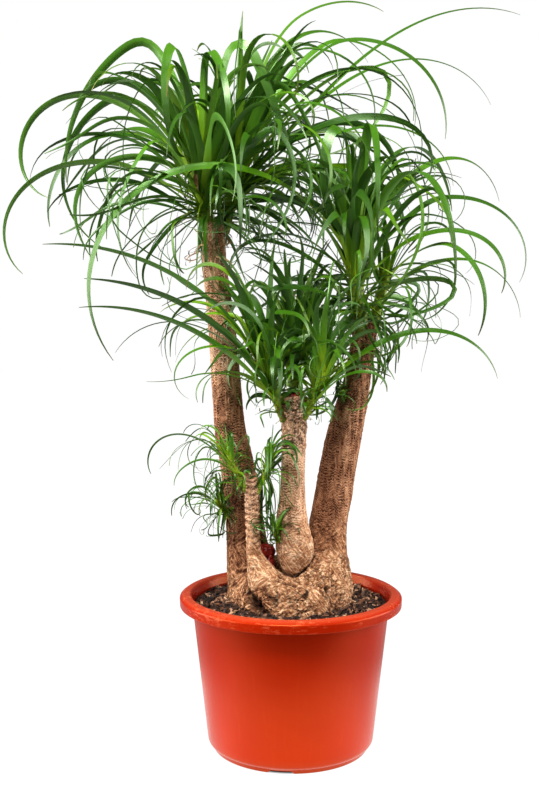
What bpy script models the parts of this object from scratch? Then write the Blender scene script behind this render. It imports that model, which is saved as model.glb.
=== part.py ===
"""A young branched ponytail palm growing in a terracotta-coloured plastic pot.

Metres, +Z up, standing on Z = 0. The front of the plant faces -Y. Every piece is laid out
about the pot's own axis and hangs from one empty on that axis. The leaves reach further to
the left than to the right, so that axis stands a little right of the middle of the whole.
"""
import math

import bmesh
import bpy
import numpy as np
from mathutils import Vector

# ---------------------------------------------------------------- driving dimensions
GAP = 0.0003                # clearance kept between touching pieces
POT_AXIS = (0.027, -0.005, 0.0)

POT_HEIGHT = 0.224
RIM_RADIUS = 0.160          # outer edge of the rolled rim
RIM_BAND = 0.0165           # height of the rim's outer band
RIM_INNER_RADIUS = 0.142    # mouth of the pot
BODY_TOP_RADIUS = 0.1413    # outer wall just under the rim
BODY_FOOT_RADIUS = 0.1195   # outer wall where it turns in to the floor
BOTTOM_ROUND = 0.012
WALL = 0.0026
FOOT_RADIUS = 0.112         # outer edge of the foot ring
FOOT_WIDTH = 0.006
FOOT_HEIGHT = 0.005
FLOOR_TOP = 0.009
POT_STEPS = 40
DRAIN_HOLES = 6
DRAIN_HOLE_RADIUS = 0.006
DRAIN_CIRCLE = 0.080
NOTCHES = 4
NOTCH_WIDTH = 0.034
NOTCH_HEIGHT = 0.0035
NOTCH_TURN = math.radians(-98)

SOIL_EDGE = 0.208           # height of the soil at the wall
SOIL_MIDDLE = 0.214         # height of the soil under the plant

TRUNK_SIDES = 12
SHOOT_SIDES = 16
LEAFLESS_SHARE = 0.35       # lower share of a shoot's stem that bears no leaf
LEAF_SEGMENTS = 12
LEAF_THICKNESS = 0.0012
LEAF_TIP_WIDTH = 0.0012

# Fused bulbs of the swollen base: centre and half sizes.
BULBS = [
    ((0.036, -0.004, 0.222), (0.056, 0.070, 0.058)),
    ((0.056, 0.006, 0.240), (0.036, 0.046, 0.070)),
    ((0.004, -0.052, 0.214), (0.050, 0.046, 0.042)),
    ((-0.052, 0.006, 0.214), (0.038, 0.050, 0.046)),
    ((-0.034, -0.042, 0.218), (0.038, 0.044, 0.044)),
    ((-0.006, 0.034, 0.218), (0.064, 0.056, 0.052)),
]

# Woody stems from the bottom up: stations of x, y, z, radius.
STEMS = {
    "trunk_left": [(-0.058, 0.016, 0.205, 0.026), (-0.059, 0.018, 0.228, 0.034),
                   (-0.066, 0.020, 0.318, 0.028), (-0.078, 0.020, 0.410, 0.0245),
                   (-0.088, 0.020, 0.460, 0.0225), (-0.098, 0.020, 0.595, 0.0195),
                   (-0.110, 0.020, 0.700, 0.0170), (-0.113, 0.020, 0.749, 0.0175)],
    "trunk_right": [(0.058, 0.004, 0.222, 0.026), (0.058, 0.008, 0.265, 0.032),
                    (0.056, 0.014, 0.312, 0.0305), (0.066, 0.018, 0.372, 0.0285),
                    (0.081, 0.020, 0.458, 0.0255), (0.094, 0.020, 0.520, 0.0205),
                    (0.103, 0.020, 0.572, 0.0185), (0.109, 0.020, 0.606, 0.0170)],
    "stub_middle": [(0.000, -0.036, 0.257, 0.008), (0.003, -0.036, 0.266, 0.0215),
                    (0.005, -0.034, 0.290, 0.0275), (0.001, -0.032, 0.330, 0.0235),
                    (0.002, -0.030, 0.380, 0.0180), (0.004, -0.030, 0.460, 0.0168),
                    (0.002, -0.030, 0.504, 0.0178)],
    "stub_front": [(-0.034, -0.052, 0.228, 0.018), (-0.038, -0.050, 0.252, 0.0235),
                   (-0.048, -0.047, 0.280, 0.0165), (-0.053, -0.045, 0.304, 0.0120),
                   (-0.056, -0.045, 0.395, 0.0105)],
    "stub_back": [(-0.026, -0.014, 0.236, 0.0085), (-0.031, -0.014, 0.258, 0.0095),
                  (-0.036, -0.014, 0.276, 0.0095)],
}
STEM_RINGS = {"trunk_left": 15, "trunk_right": 13, "stub_middle": 13, "stub_front": 10,
              "stub_back": 4}

# Leafy shoots: the stem each breaks from, foot, tip, foot radius, tip radius.
SHOOTS = {
    "crown_left": ("trunk_left", (-0.118, 0.016, 0.742), (-0.126, 0.005, 0.825), 0.0105, 0.0080),
    "crown_top": ("trunk_left", (-0.098, 0.034, 0.742), (-0.070, 0.038, 0.850), 0.0095, 0.0080),
    "crown_right": ("trunk_right", (0.102, 0.014, 0.596), (0.084, 0.002, 0.730), 0.0105, 0.0085),
    "crown_side": ("trunk_right", (0.116, 0.030, 0.596), (0.140, 0.034, 0.690), 0.0080, 0.0060),
    "shoot_left": ("stub_middle", (-0.010, -0.036, 0.476), (-0.040, -0.046, 0.556), 0.0070, 0.0055),
    "shoot_right": ("stub_middle", (0.016, -0.036, 0.478), (0.046, -0.042, 0.544), 0.0070, 0.0055),
    "shoot_back": ("stub_middle", (0.005, -0.015, 0.480), (0.008, 0.012, 0.572), 0.0070, 0.0055),
    "sprout_left": ("stub_front", (-0.062, -0.047, 0.379), (-0.087, -0.052, 0.425), 0.0045, 0.0035),
    "sprout_right": ("stub_front", (-0.049, -0.045, 0.376), (-0.031, -0.042, 0.416), 0.0045, 0.0035),
    "tuft_trunk": ("trunk_left", (-0.088, 0.006, 0.333), (-0.105, -0.010, 0.356), 0.0038, 0.0030),
    "tuft_cleft": ("stub_middle", (-0.016, -0.038, 0.300), (-0.024, -0.052, 0.326), 0.0038, 0.0030),
}

# Leading leaves of each shoot, angles in degrees, lengths in metres:
# place up the shoot 0..1, compass direction (0 is +X, 90 is +Y), rise at the base, total
# bend, lateness of the bend, sharp fold and its place along the leaf, length, width, roll
# about its own line, swing of the compass direction from base to tip.
LEAVES = {
    "crown_left": [
        (1.0, 190, 84, 100, 1.4, 80, 0.45, 0.44, 0.015, 50, -30),
        (0.6, 248, 80, 200, 2.0, 80, 0.50, 0.42, 0.015, -40, 10),
        (1.0, 290, 88, 150, 3.0, 100, 0.42, 0.38, 0.013, 20, 0),
        (0.7, -35, 84, 20, 1.0, 140, 0.45, 0.44, 0.018, 60, 40),
        (0.7, 178, 55, 220, 2.0, 0, 0.50, 0.44, 0.013, 40, -20),
        (0.8, 145, 65, 180, 1.4, 40, 0.40, 0.46, 0.013, 40, 60),
        (0.2, 184, 30, 160, 2.2, 10, 0.30, 0.40, 0.011, 40, 0),
        (0.4, 95, 70, 170, 1.5, 0, 0.50, 0.45, 0.014, 0, 0),
        (0.3, 135, 60, 170, 1.4, 0, 0.50, 0.44, 0.014, -30, 0),
    ],
    "crown_top": [
        (1.0, -10, 86, 110, 1.8, 10, 0.60, 0.34, 0.012, 40, -10),
        (0.9, 45, 80, 130, 1.8, 0, 0.50, 0.38, 0.011, 40, -10),
        (0.3, 0, 50, 70, 2.8, 0, 0.50, 0.50, 0.012, 30, 0),
        (0.7, -35, 62, 140, 1.8, 20, 0.50, 0.46, 0.012, 40, 20),
        (0.8, 50, 60, 150, 2.4, 20, 0.55, 0.50, 0.010, 40, -40),
        (0.5, 15, 48, 110, 2.5, 0, 0.50, 0.48, 0.009, 30, 0),
        (0.1, -15, 38, 125, 2.4, 0, 0.50, 0.38, 0.011, 30, 20),
        (0.4, 80, 70, 160, 1.5, 0, 0.50, 0.42, 0.014, 0, 0),
        (0.2, -50, 78, 60, 1.0, 100, 0.45, 0.38, 0.015, -50, 30),
    ],
    "crown_right": [
        (1.0, -110, 92, 150, 2.0, 130, 0.40, 0.40, 0.016, -40, -60),
        (0.8, -60, 84, 100, 2.0, 100, 0.50, 0.36, 0.015, -20, -40),
        (0.5, 5, 50, 150, 2.2, 20, 0.40, 0.36, 0.012, 40, 0),
        (0.9, 20, 55, 125, 2.0, 0, 0.50, 0.34, 0.011, 40, 20),
        (0.3, -10, 45, 150, 2.2, 10, 0.30, 0.28, 0.012, 40, -20),
        (0.8, 198, 58, 185, 1.2, 0, 0.50, 0.60, 0.014, -50, -10),
        (0.5, 95, 70, 165, 1.5, 0, 0.50, 0.48, 0.015, 0, 0),
        (0.4, -75, 55, 150, 1.5, 0, 0.50, 0.46, 0.015, 0, 0),
        (0.6, 55, 75, 150, 1.5, 0, 0.50, 0.44, 0.015, 0, 0),
    ],
    "crown_side": [
        (0.8, -30, 50, 150, 1.2, 20, 0.40, 0.26, 0.010, 30, -20),
        (0.5, 20, 35, 120, 1.6, 0, 0.50, 0.28, 0.010, 30, 0),
    ],
    "shoot_left": [
        (0.5, 184, 62, 60, 0.9, 0, 0.50, 0.30, 0.015, 40, 0),
        (0.9, 170, 68, 70, 0.8, 0, 0.50, 0.38, 0.013, 40, 0),
        (0.2, 195, 50, 55, 1.2, 0, 0.50, 0.30, 0.011, 40, 0),
        (0.8, 235, 70, 40, 2.0, 0, 0.50, 0.20, 0.011, 20, 0),
    ],
    "shoot_right": [
        (0.5, -5, 45, 120, 1.8, 0, 0.50, 0.30, 0.012, 40, 10),
    ],
    "shoot_back": [
        (0.6, 80, 68, 110, 1.5, 0, 0.50, 0.28, 0.012, 0, -20),
    ],
    "sprout_left": [
        (0.7, 183, 50, 170, 1.8, 0, 0.50, 0.17, 0.006, 30, -20),
    ],
    "sprout_right": [
        (0.5, -60, 66, 110, 1.4, 0, 0.50, 0.12, 0.005, 30, 0),
    ],
}

# ---------------------------------------------------------------- scene and helpers
for old in list(bpy.data.objects):
    bpy.data.objects.remove(old, do_unlink=True)

plant = bpy.data.collections.new("ponytail_palm")
cutters = bpy.data.collections.new("cutters")
bpy.context.scene.collection.children.link(plant)
bpy.context.scene.collection.children.link(cutters)

pot_axis = bpy.data.objects.new("pot_axis", None)
pot_axis.location = POT_AXIS
plant.objects.link(pot_axis)


def material(name, colour, roughness):
    """A plain Principled BSDF with one colour."""
    made = bpy.data.materials.new(name)
    made.use_nodes = True
    shader = made.node_tree.nodes["Principled BSDF"]
    shader.inputs["Base Color"].default_value = (*colour, 1.0)
    shader.inputs["Roughness"].default_value = roughness
    shader.inputs["Metallic"].default_value = 0.0
    return made


POT_PLASTIC = material("pot_plastic", (0.52, 0.07, 0.02), 0.38)
SOIL_MIX = material("soil_mix", (0.035, 0.02, 0.013), 0.95)
BARK = material("bark", (0.30, 0.17, 0.09), 0.85)
WAX = material("wax", (0.28, 0.02, 0.015), 0.35)
SHOOT_GREEN = material("shoot_green", (0.22, 0.30, 0.05), 0.55)
LEAF_GREEN = material("leaf_green", (0.06, 0.20, 0.02), 0.42)


def place(name, mesh, surface, collection=plant):
    """Puts a mesh on the pot's axis as a finished piece, or as a hidden cutter."""
    made = bpy.data.objects.new(name, mesh)
    made.parent = pot_axis
    collection.objects.link(made)
    if surface:
        mesh.materials.append(surface)
        mesh.shade_smooth()
        mesh.set_sharp_from_angle(angle=math.radians(40))
    if collection is cutters:
        made.hide_render = True
        made.display_type = "WIRE"
    return made


def boolean(target, tool, operation):
    """Adds one exact Boolean modifier."""
    step = target.modifiers.new(f"{operation.lower()}_{tool.name}", "BOOLEAN")
    step.operation = operation
    step.solver = "EXACT"
    step.object = tool


def turned(name, profile, steps, surface, collection=plant):
    """A solid turned about Z from a profile of (radius, height) that starts and ends on the
    axis and runs down its outer side."""
    mesh = bpy.data.meshes.new(name)
    mesh.from_pydata([(radius, 0.0, height) for radius, height in profile],
                     [(i, i + 1) for i in range(len(profile) - 1)], [])
    made = place(name, mesh, surface, collection)
    screw = made.modifiers.new("turn", "SCREW")
    screw.axis = "Z"
    screw.steps = screw.render_steps = steps
    screw.use_merge_vertices = True
    screw.merge_threshold = 0.00005
    screw.use_smooth_shade = False
    return made


def smooth_stations(stations, count):
    """A Catmull-Rom line through stations of x, y, z, radius, read at even steps."""
    knots = np.array(stations)
    knots = np.vstack([2 * knots[0] - knots[1], knots, 2 * knots[-1] - knots[-2]])
    out = []
    for u in np.linspace(0, len(stations) - 1, count):
        i = min(int(u), len(stations) - 2)
        t = u - i
        a, b, c, d = knots[i:i + 4]
        out.append(0.5 * (2 * b + (c - a) * t + (2 * a - 5 * b + 4 * c - d) * t ** 2
                          + (3 * b - a - 3 * c + d) * t ** 3))
    return out


def stem(name, stations, rings, sides, surface, collection=plant, grow=0.0):
    """A tapering woody stem: a bevelled curve with filled caps, made a mesh."""
    curve = bpy.data.curves.new(name + "_line", "CURVE")
    curve.dimensions = "3D"
    curve.bevel_depth = 1.0
    curve.bevel_resolution = (sides - 4) // 2
    curve.use_fill_caps = True
    spline = curve.splines.new("POLY")
    points = smooth_stations(stations, rings)
    ends = [Vector(points[1][:3] - points[0][:3]).normalized(),
            Vector(points[-1][:3] - points[-2][:3]).normalized()]
    spline.points.add(len(points) - 1)
    for i, (x, y, z, radius) in enumerate(points):
        spline.points[i].co = (x, y, z, 1.0)
        spline.points[i].radius = radius + grow
    if grow:
        for i, step in ((0, -1), (-1, 1)):
            moved = Vector(spline.points[i].co[:3]) + ends[i] * step * grow
            spline.points[i].co = (*moved, 1.0)
    guide = bpy.data.objects.new(name + "_guide", curve)
    cutters.objects.link(guide)
    graph = bpy.context.evaluated_depsgraph_get()
    mesh = bpy.data.meshes.new_from_object(guide.evaluated_get(graph))
    bpy.data.objects.remove(guide, do_unlink=True)
    mesh.name = name
    shape = bmesh.new()
    shape.from_mesh(mesh)
    bmesh.ops.remove_doubles(shape, verts=shape.verts, dist=0.00001)
    bmesh.ops.recalc_face_normals(shape, faces=shape.faces)
    shape.to_mesh(mesh)
    shape.free()
    mesh.materials.clear()
    return place(name, mesh, surface, collection)


def bulb(name, centre, half, surface, collection, grow=0.0):
    """One rounded bulb: a sphere stretched to its half sizes."""
    mesh = bpy.data.meshes.new(name)
    shape = bmesh.new()
    bmesh.ops.create_uvsphere(shape, u_segments=18, v_segments=12, radius=1.0)
    bmesh.ops.scale(shape, vec=[size + grow for size in half], verts=shape.verts)
    bmesh.ops.translate(shape, vec=centre, verts=shape.verts)
    shape.to_mesh(mesh)
    shape.free()
    return place(name, mesh, surface, collection)


# ---------------------------------------------------------------- pot
def pot():
    """One moulded wall: floor, foot ring, tapering body and rolled rim."""
    rim_under = POT_HEIGHT - RIM_BAND
    floor_under = FLOOR_TOP - WALL
    corner = [(BODY_FOOT_RADIUS - BOTTOM_ROUND * (1 - math.cos(a)),
               FOOT_HEIGHT + BOTTOM_ROUND * (1 - math.sin(a)))
              for a in np.radians((0, 30, 60, 90))]
    profile = [
        (0.0, FLOOR_TOP),
        (BODY_FOOT_RADIUS - BOTTOM_ROUND, FLOOR_TOP),
        (BODY_FOOT_RADIUS - WALL - 0.002, FLOOR_TOP + BOTTOM_ROUND * 0.6),
        (BODY_TOP_RADIUS - WALL, rim_under - 0.012),
        (BODY_TOP_RADIUS - WALL, rim_under + 0.004),
        (RIM_INNER_RADIUS, POT_HEIGHT - 0.004),
        (RIM_INNER_RADIUS + 0.0025, POT_HEIGHT - 0.0005),
        (RIM_INNER_RADIUS + 0.006, POT_HEIGHT),
        (RIM_RADIUS - 0.005, POT_HEIGHT - 0.002),
        (RIM_RADIUS - 0.001, POT_HEIGHT - 0.0045),
        (RIM_RADIUS, POT_HEIGHT - 0.007),
        (RIM_RADIUS - 0.0005, rim_under),
        (RIM_RADIUS - 0.0005 - WALL, rim_under),
        (RIM_RADIUS - WALL, POT_HEIGHT - 0.007 - WALL / 2),
        (BODY_TOP_RADIUS + 0.003, POT_HEIGHT - 0.004 - WALL),
        (BODY_TOP_RADIUS, POT_HEIGHT - 0.010),
        (BODY_TOP_RADIUS, rim_under - 0.004),
        *corner,
        (FOOT_RADIUS, FOOT_HEIGHT),
        (FOOT_RADIUS, 0.0),
        (FOOT_RADIUS - FOOT_WIDTH, 0.0),
        (FOOT_RADIUS - FOOT_WIDTH, floor_under),
        (0.0, floor_under),
    ]
    body = turned("pot", [p for i, p in enumerate(profile) if i == 0 or p != profile[i - 1]],
                  POT_STEPS, POT_PLASTIC)
    for i in range(DRAIN_HOLES):
        angle = 2 * math.pi * i / DRAIN_HOLES
        mesh = bpy.data.meshes.new(f"drain_{i}")
        shape = bmesh.new()
        bmesh.ops.create_cone(shape, cap_ends=True, segments=12, radius1=DRAIN_HOLE_RADIUS,
                              radius2=DRAIN_HOLE_RADIUS, depth=0.02)
        bmesh.ops.translate(shape, verts=shape.verts,
                            vec=(DRAIN_CIRCLE * math.cos(angle), DRAIN_CIRCLE * math.sin(angle), FLOOR_TOP))
        shape.to_mesh(mesh)
        shape.free()
        boolean(body, place(f"drain_{i}", mesh, None, cutters), "DIFFERENCE")
    for i in range(NOTCHES):
        angle = NOTCH_TURN + 2 * math.pi * i / NOTCHES
        mesh = bpy.data.meshes.new(f"notch_{i}")
        shape = bmesh.new()
        bmesh.ops.create_cube(shape, size=1.0)
        bmesh.ops.scale(shape, vec=(0.024, NOTCH_WIDTH, NOTCH_HEIGHT * 2), verts=shape.verts)
        shape.to_mesh(mesh)
        shape.free()
        tool = place(f"notch_{i}", mesh, None, cutters)
        tool.location = (FOOT_RADIUS * math.cos(angle), FOOT_RADIUS * math.sin(angle), 0.0)
        tool.rotation_euler = (0.0, 0.0, angle)
        boolean(body, tool, "DIFFERENCE")


# ---------------------------------------------------------------- woody pieces
def inflated_stem(name):
    """The cutter that leaves a stem its clearance in a neighbour."""
    return stem(f"{name}_room", STEMS[name], STEM_RINGS[name], TRUNK_SIDES, None, cutters, GAP)


def inflated_shoot(name):
    """The cutter that leaves a shoot its socket in the stem it breaks from."""
    return stem(f"{name}_socket", shoot_stations(name), 2, SHOOT_SIDES, None, cutters, GAP)


def shoot_stations(name):
    """The two end stations of a shoot's short stem."""
    _, foot, tip, foot_radius, tip_radius = SHOOTS[name]
    return [(*foot, foot_radius), (*tip, tip_radius)]


def woody_stems():
    """Trunks and stubs, each with a socket for every shoot that breaks from it."""
    for name, stations in STEMS.items():
        made = stem(name, stations, STEM_RINGS[name], TRUNK_SIDES, BARK)
        for shoot, (carrier, *_) in SHOOTS.items():
            if carrier == name:
                boolean(made, inflated_shoot(shoot), "DIFFERENCE")


def caudex():
    """The swollen base: the bulbs joined, with a seat for each stem's foot."""
    (centre, half), *others = BULBS
    body = bulb("caudex", centre, half, BARK, plant)
    for i, (centre, half) in enumerate(others):
        boolean(body, bulb(f"bulb_{i}", centre, half, None, cutters), "UNION")
    for name in STEMS:
        boolean(body, inflated_stem(name), "DIFFERENCE")


def wax_seals():
    """Low domes of wax over the two waxed cuts."""
    for name, on, radius, height in (("wax_seal_middle", "stub_middle", 0.0130, 0.0045),
                                     ("wax_seal_back", "stub_back", 0.0085, 0.0080)):
        x, y, z, _ = STEMS[on][-1]
        dome = [(radius * math.sin(a), height * math.cos(a)) for a in np.radians((0, 25, 50, 72, 90))]
        made = turned(name, [*dome, (0.0, 0.0)], 16, WAX)
        made.location = (x, y, z + 2 * GAP)
        x0, y0, z0, _ = smooth_stations(STEMS[on], STEM_RINGS[on])[-2]
        lean = Vector((x - x0, y - y0, z - z0)).to_track_quat("Z", "Y")
        made.rotation_mode = "QUATERNION"
        made.rotation_quaternion = lean


# ---------------------------------------------------------------- soil
def soil():
    """The potting mix: fills the pot to just under the rim and takes the bulbs' shape."""
    clear = WALL + GAP
    inner_foot = BODY_FOOT_RADIUS - clear - 0.003
    profile = [
        (0.0, SOIL_MIDDLE),
        (0.085, SOIL_MIDDLE - 0.001),
        (BODY_TOP_RADIUS - clear - 0.004, SOIL_EDGE),
        (BODY_TOP_RADIUS - clear - 0.0003, SOIL_EDGE - 0.004),
        (BODY_TOP_RADIUS - clear - 0.0008, POT_HEIGHT - RIM_BAND - 0.013),
        (inner_foot, FLOOR_TOP + BOTTOM_ROUND * 0.6 + 0.001),
        (BODY_FOOT_RADIUS - BOTTOM_ROUND - 0.001, FLOOR_TOP + GAP),
        (0.0, FLOOR_TOP + GAP),
    ]
    body = turned("soil", profile, POT_STEPS, SOIL_MIX)
    for i, (centre, half) in enumerate(BULBS):
        boolean(body, bulb(f"bulb_room_{i}", centre, half, None, cutters, GAP * 1.3), "DIFFERENCE")
    boolean(body, inflated_stem("trunk_left"), "DIFFERENCE")


# ---------------------------------------------------------------- shoots and leaves
def shoots():
    """Short leafy stems, each in its socket."""
    for name in SHOOTS:
        stem(name, shoot_stations(name), 2, SHOOT_SIDES, SHOOT_GREEN)


def leaf_line(start, azimuth, rise, bend, late, fold, at, length, swing, count):
    """Centre line of a leaf. Its slope falls from the rise by bend * s ** late, and by the
    fold in one short stretch at the given place; s runs from 0 at the base to 1."""
    def heading(s):
        slope = np.radians(rise - bend * s ** late - fold * 0.5 * (1 + np.tanh((s - at) / 0.04)))
        turn = np.radians(azimuth + swing * s)
        return np.stack([np.cos(slope) * np.cos(turn), np.cos(slope) * np.sin(turn),
                         np.sin(slope)], axis=-1), turn
    fine = 12
    middles = (np.arange(count * fine) + 0.5) / (count * fine)
    steps = heading(middles)[0] * length / (count * fine)
    line = np.vstack([[start], start + np.cumsum(steps, axis=0)])[::fine]
    s = np.linspace(0, 1, count + 1)
    along, turn = heading(s)
    across = np.stack([-np.sin(turn), np.cos(turn), 0 * turn], axis=-1)
    return s, line, along, across


def leaf(name, shoot, up, azimuth, rise, bend, late, fold, at, length, width, roll, swing):
    """A strap that tapers from its clasping base to a hair tip: a swept strip, thickened."""
    _, foot, tip, foot_radius, tip_radius = SHOOTS[shoot]
    foot, tip = Vector(foot), Vector(tip)
    axis = (tip - foot).normalized()
    out = Vector((math.cos(math.radians(azimuth)), math.sin(math.radians(azimuth)), 0.0))
    out = (out - out.dot(axis) * axis).normalized()
    place_on = LEAFLESS_SHARE + (1 - LEAFLESS_SHARE) * up
    radius = foot_radius + (tip_radius - foot_radius) * place_on
    slope = math.radians(rise)
    first = Vector((math.cos(slope) * math.cos(math.radians(azimuth)),
                    math.cos(slope) * math.sin(math.radians(azimuth)), math.sin(slope)))
    inward = LEAF_THICKNESS / 2 * abs(first.dot(axis))
    start = foot.lerp(tip, place_on) + out * (radius + GAP + inward)
    s, line, along, across = leaf_line(np.array(start), azimuth, rise, bend, late, fold, at,
                                       length, swing, LEAF_SEGMENTS)
    normal = np.cross(along, across)
    lean = np.radians(roll) * np.clip(s / 0.35, 0, 1)[:, None]
    side = across * np.cos(lean) + normal * np.sin(lean)
    breadth = (width * (0.6 + 0.4 * np.clip(s / 0.18, 0, 1)) * (1 - s ** 2.2) ** 0.9
               + LEAF_TIP_WIDTH)[:, None] / 2
    strip = np.stack([line - side * breadth, line + side * breadth], axis=1).reshape(-1, 3)
    faces = [(2 * i, 2 * i + 1, 2 * i + 3, 2 * i + 2) for i in range(LEAF_SEGMENTS)]
    mesh = bpy.data.meshes.new(name)
    mesh.from_pydata(strip.tolist(), [], faces)
    made = place(name, mesh, LEAF_GREEN)
    skin = made.modifiers.new("thickness", "SOLIDIFY")
    skin.thickness = LEAF_THICKNESS
    skin.offset = 0.0


def leaves():
    """The leading leaves of every shoot."""
    for shoot, rows in LEAVES.items():
        for number, row in enumerate(rows, 1):
            leaf(f"leaf_{shoot}_{number}", shoot, *row)


pot()
woody_stems()
caudex()
wax_seals()
soil()
shoots()
leaves()
bpy.context.view_layer.update()
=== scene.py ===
"""A young branched ponytail palm in a terracotta-coloured plastic nursery pot.

Metres, +Z up, standing on Z = 0, the front of the plant towards -Y. The plant is put together
from the ground up: pot, soil, trunks and pruned stubs, swollen base, wax on the cuts, leafy
shoots, their leading leaves, the rest of the leaves, and the dead fibres that hang on them.
"""
from itertools import product

import bmesh
import bpy
import numpy as np
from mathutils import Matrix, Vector


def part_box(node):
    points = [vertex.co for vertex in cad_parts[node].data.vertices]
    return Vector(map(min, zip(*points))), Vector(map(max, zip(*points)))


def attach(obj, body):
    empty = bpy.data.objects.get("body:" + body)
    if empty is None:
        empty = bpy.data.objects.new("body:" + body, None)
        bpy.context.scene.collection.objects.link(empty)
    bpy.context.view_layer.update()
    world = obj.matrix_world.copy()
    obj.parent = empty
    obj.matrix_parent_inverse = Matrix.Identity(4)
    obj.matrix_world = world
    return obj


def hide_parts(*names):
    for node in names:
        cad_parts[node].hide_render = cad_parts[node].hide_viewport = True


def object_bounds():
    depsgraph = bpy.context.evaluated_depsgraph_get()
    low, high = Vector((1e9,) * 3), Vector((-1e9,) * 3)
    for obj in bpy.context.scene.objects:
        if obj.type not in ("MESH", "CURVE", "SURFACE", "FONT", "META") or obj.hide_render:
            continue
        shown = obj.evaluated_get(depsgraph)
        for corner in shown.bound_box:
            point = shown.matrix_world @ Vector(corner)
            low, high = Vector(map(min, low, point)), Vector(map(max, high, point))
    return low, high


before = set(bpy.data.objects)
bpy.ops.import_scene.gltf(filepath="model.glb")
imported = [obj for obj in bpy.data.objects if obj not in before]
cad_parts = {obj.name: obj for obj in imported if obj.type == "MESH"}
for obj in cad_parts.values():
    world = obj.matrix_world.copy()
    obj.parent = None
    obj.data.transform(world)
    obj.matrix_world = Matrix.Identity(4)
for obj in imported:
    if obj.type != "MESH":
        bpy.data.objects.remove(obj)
cad_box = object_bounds()

# ------------------------ pot
# One injection-moulded shell of terracotta-coloured polypropylene with a satin skin: a rolled
# rim, a tapering wall, a foot ring with four water notches, and six drain holes in the floor.

pot_low, pot_high = (np.array(corner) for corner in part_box("pot"))
pot_axis = np.array([*(pot_low + pot_high)[:2] / 2, 0.0])
pot_height = pot_high[2]
rim_radius = (pot_high[0] - pot_low[0]) / 2
rim_under = pot_height - 0.0165
mouth_radius = rim_radius - 0.018
body_top_radius = rim_radius - 0.0187
body_foot_radius = rim_radius - 0.0405
wall = 0.0026
foot_radius = 0.112
foot_width = 0.006
foot_height = 0.005
floor_top = 0.009


def unit(arrows):
    """The same arrows, each with a length of 1."""
    return arrows / np.linalg.norm(arrows, axis=-1, keepdims=True)


def rounded(corners, steps=6):
    """An outline of (radius, height) through corners of (radius, height, rounding): each corner
    with a rounding becomes a circular arc that touches both of its sides."""
    line = []
    for i, (x, y, rounding) in enumerate(corners):
        here = np.array([x, y])
        if not rounding:
            line.append(here)
            continue
        before, after = (unit(np.array(corners[k][:2]) - here) for k in (i - 1, i + 1))
        half = np.arccos(np.clip(before @ after, -1, 1)) / 2
        centre = here + unit(before + after) * rounding / np.sin(half)
        start, end = (here + side * rounding / np.tan(half) - centre for side in (before, after))
        line += [centre + unit((1 - t) * start + t * end) * rounding for t in np.linspace(0, 1, steps)]
    return np.array(line)


def resampled(line, spacing):
    """The same outline with extra points, so that no stretch is longer than the spacing."""
    parts = [line[:1]]
    for a, b in zip(line, line[1:]):
        count = max(1, int(np.ceil(np.linalg.norm(b - a) / spacing)))
        parts.append(a + (b - a) * np.linspace(0, 1, count + 1)[1:, None])
    return np.vstack(parts)


def full_turn(steps):
    """Angles of even steps once round."""
    return np.linspace(0, 2 * np.pi, steps, endpoint=False)


def turned(radius, angle, height):
    """Points at a radius, an angle and a height about an upright axis."""
    x, y = radius * np.cos(angle), radius * np.sin(angle)
    return np.stack([x, y, height + 0 * x], axis=-1)


def revolved(radius, height, steps):
    """A grid of points: an outline of radii and heights turned once round its axis."""
    return turned(radius[:, None], full_turn(steps), height[:, None])


def grid_faces(rows, columns):
    """Quads over a grid of rows by columns, which closes from the last column to the first."""
    i, j = np.meshgrid(np.arange(rows - 1), np.arange(columns), indexing="ij")
    after = (j + 1) % columns
    return np.stack([i * columns + j, i * columns + after, (i + 1) * columns + after,
                     (i + 1) * columns + j], axis=-1).reshape(-1, 4)


def placed(name, data):
    """A new object in the scene."""
    made = bpy.data.objects.new(name, data)
    bpy.context.scene.collection.objects.link(made)
    return made


def piece(name, points, material, faces=None, uv=None, marks=(), sharp=None, replaces=None):
    """A finished piece of the plant from points about the pot's axis, faced outwards and smoothly
    shaded. They are a grid (row, column, xyz) whose seam and poles are welded, or any points with
    quads of their own. UV is per face corner (m, 4, 2), and marks are named numbers per point."""
    weld = 0.000002
    grid = faces is None
    faces = grid_faces(*points.shape[:2]) if grid else faces
    points = points.reshape(-1, 3) + pot_axis
    a, b, c, d = points[faces.T]
    inside_out = (a * (np.cross(b, c) + np.cross(c, d))).sum() < 0
    if inside_out:
        faces = faces[:, ::-1]
        uv = uv if uv is None else uv[:, ::-1]
    mesh = bpy.data.meshes.new(name)
    mesh.from_pydata(points.tolist(), [], faces.tolist())
    if uv is not None:
        mesh.uv_layers.new(name="surface").data.foreach_set("uv", uv.astype(np.float32).ravel())
    for mark, values in dict(marks).items():
        layer = mesh.attributes.new(mark, "FLOAT", "POINT")
        layer.data.foreach_set("value", values.astype(np.float32).ravel())
    if grid:
        shape = bmesh.new()
        shape.from_mesh(mesh)
        bmesh.ops.remove_doubles(shape, verts=shape.verts, dist=weld)
        shape.to_mesh(mesh)
        shape.free()
    mesh.shade_smooth()
    if sharp:
        mesh.set_sharp_from_angle(angle=np.radians(sharp))
    mesh.materials.append(material)
    made = placed(name, mesh)
    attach(made, "root")
    if replaces:
        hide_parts(replaces)
    return made


def feed(socket, value):
    """Joins an input to another node's output, or sets it to a plain number, place or colour."""
    if isinstance(value, bpy.types.NodeSocket):
        socket.id_data.links.new(value, socket)
    else:
        socket.default_value = (*value, 1.0) if socket.type == "RGBA" else value


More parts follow.
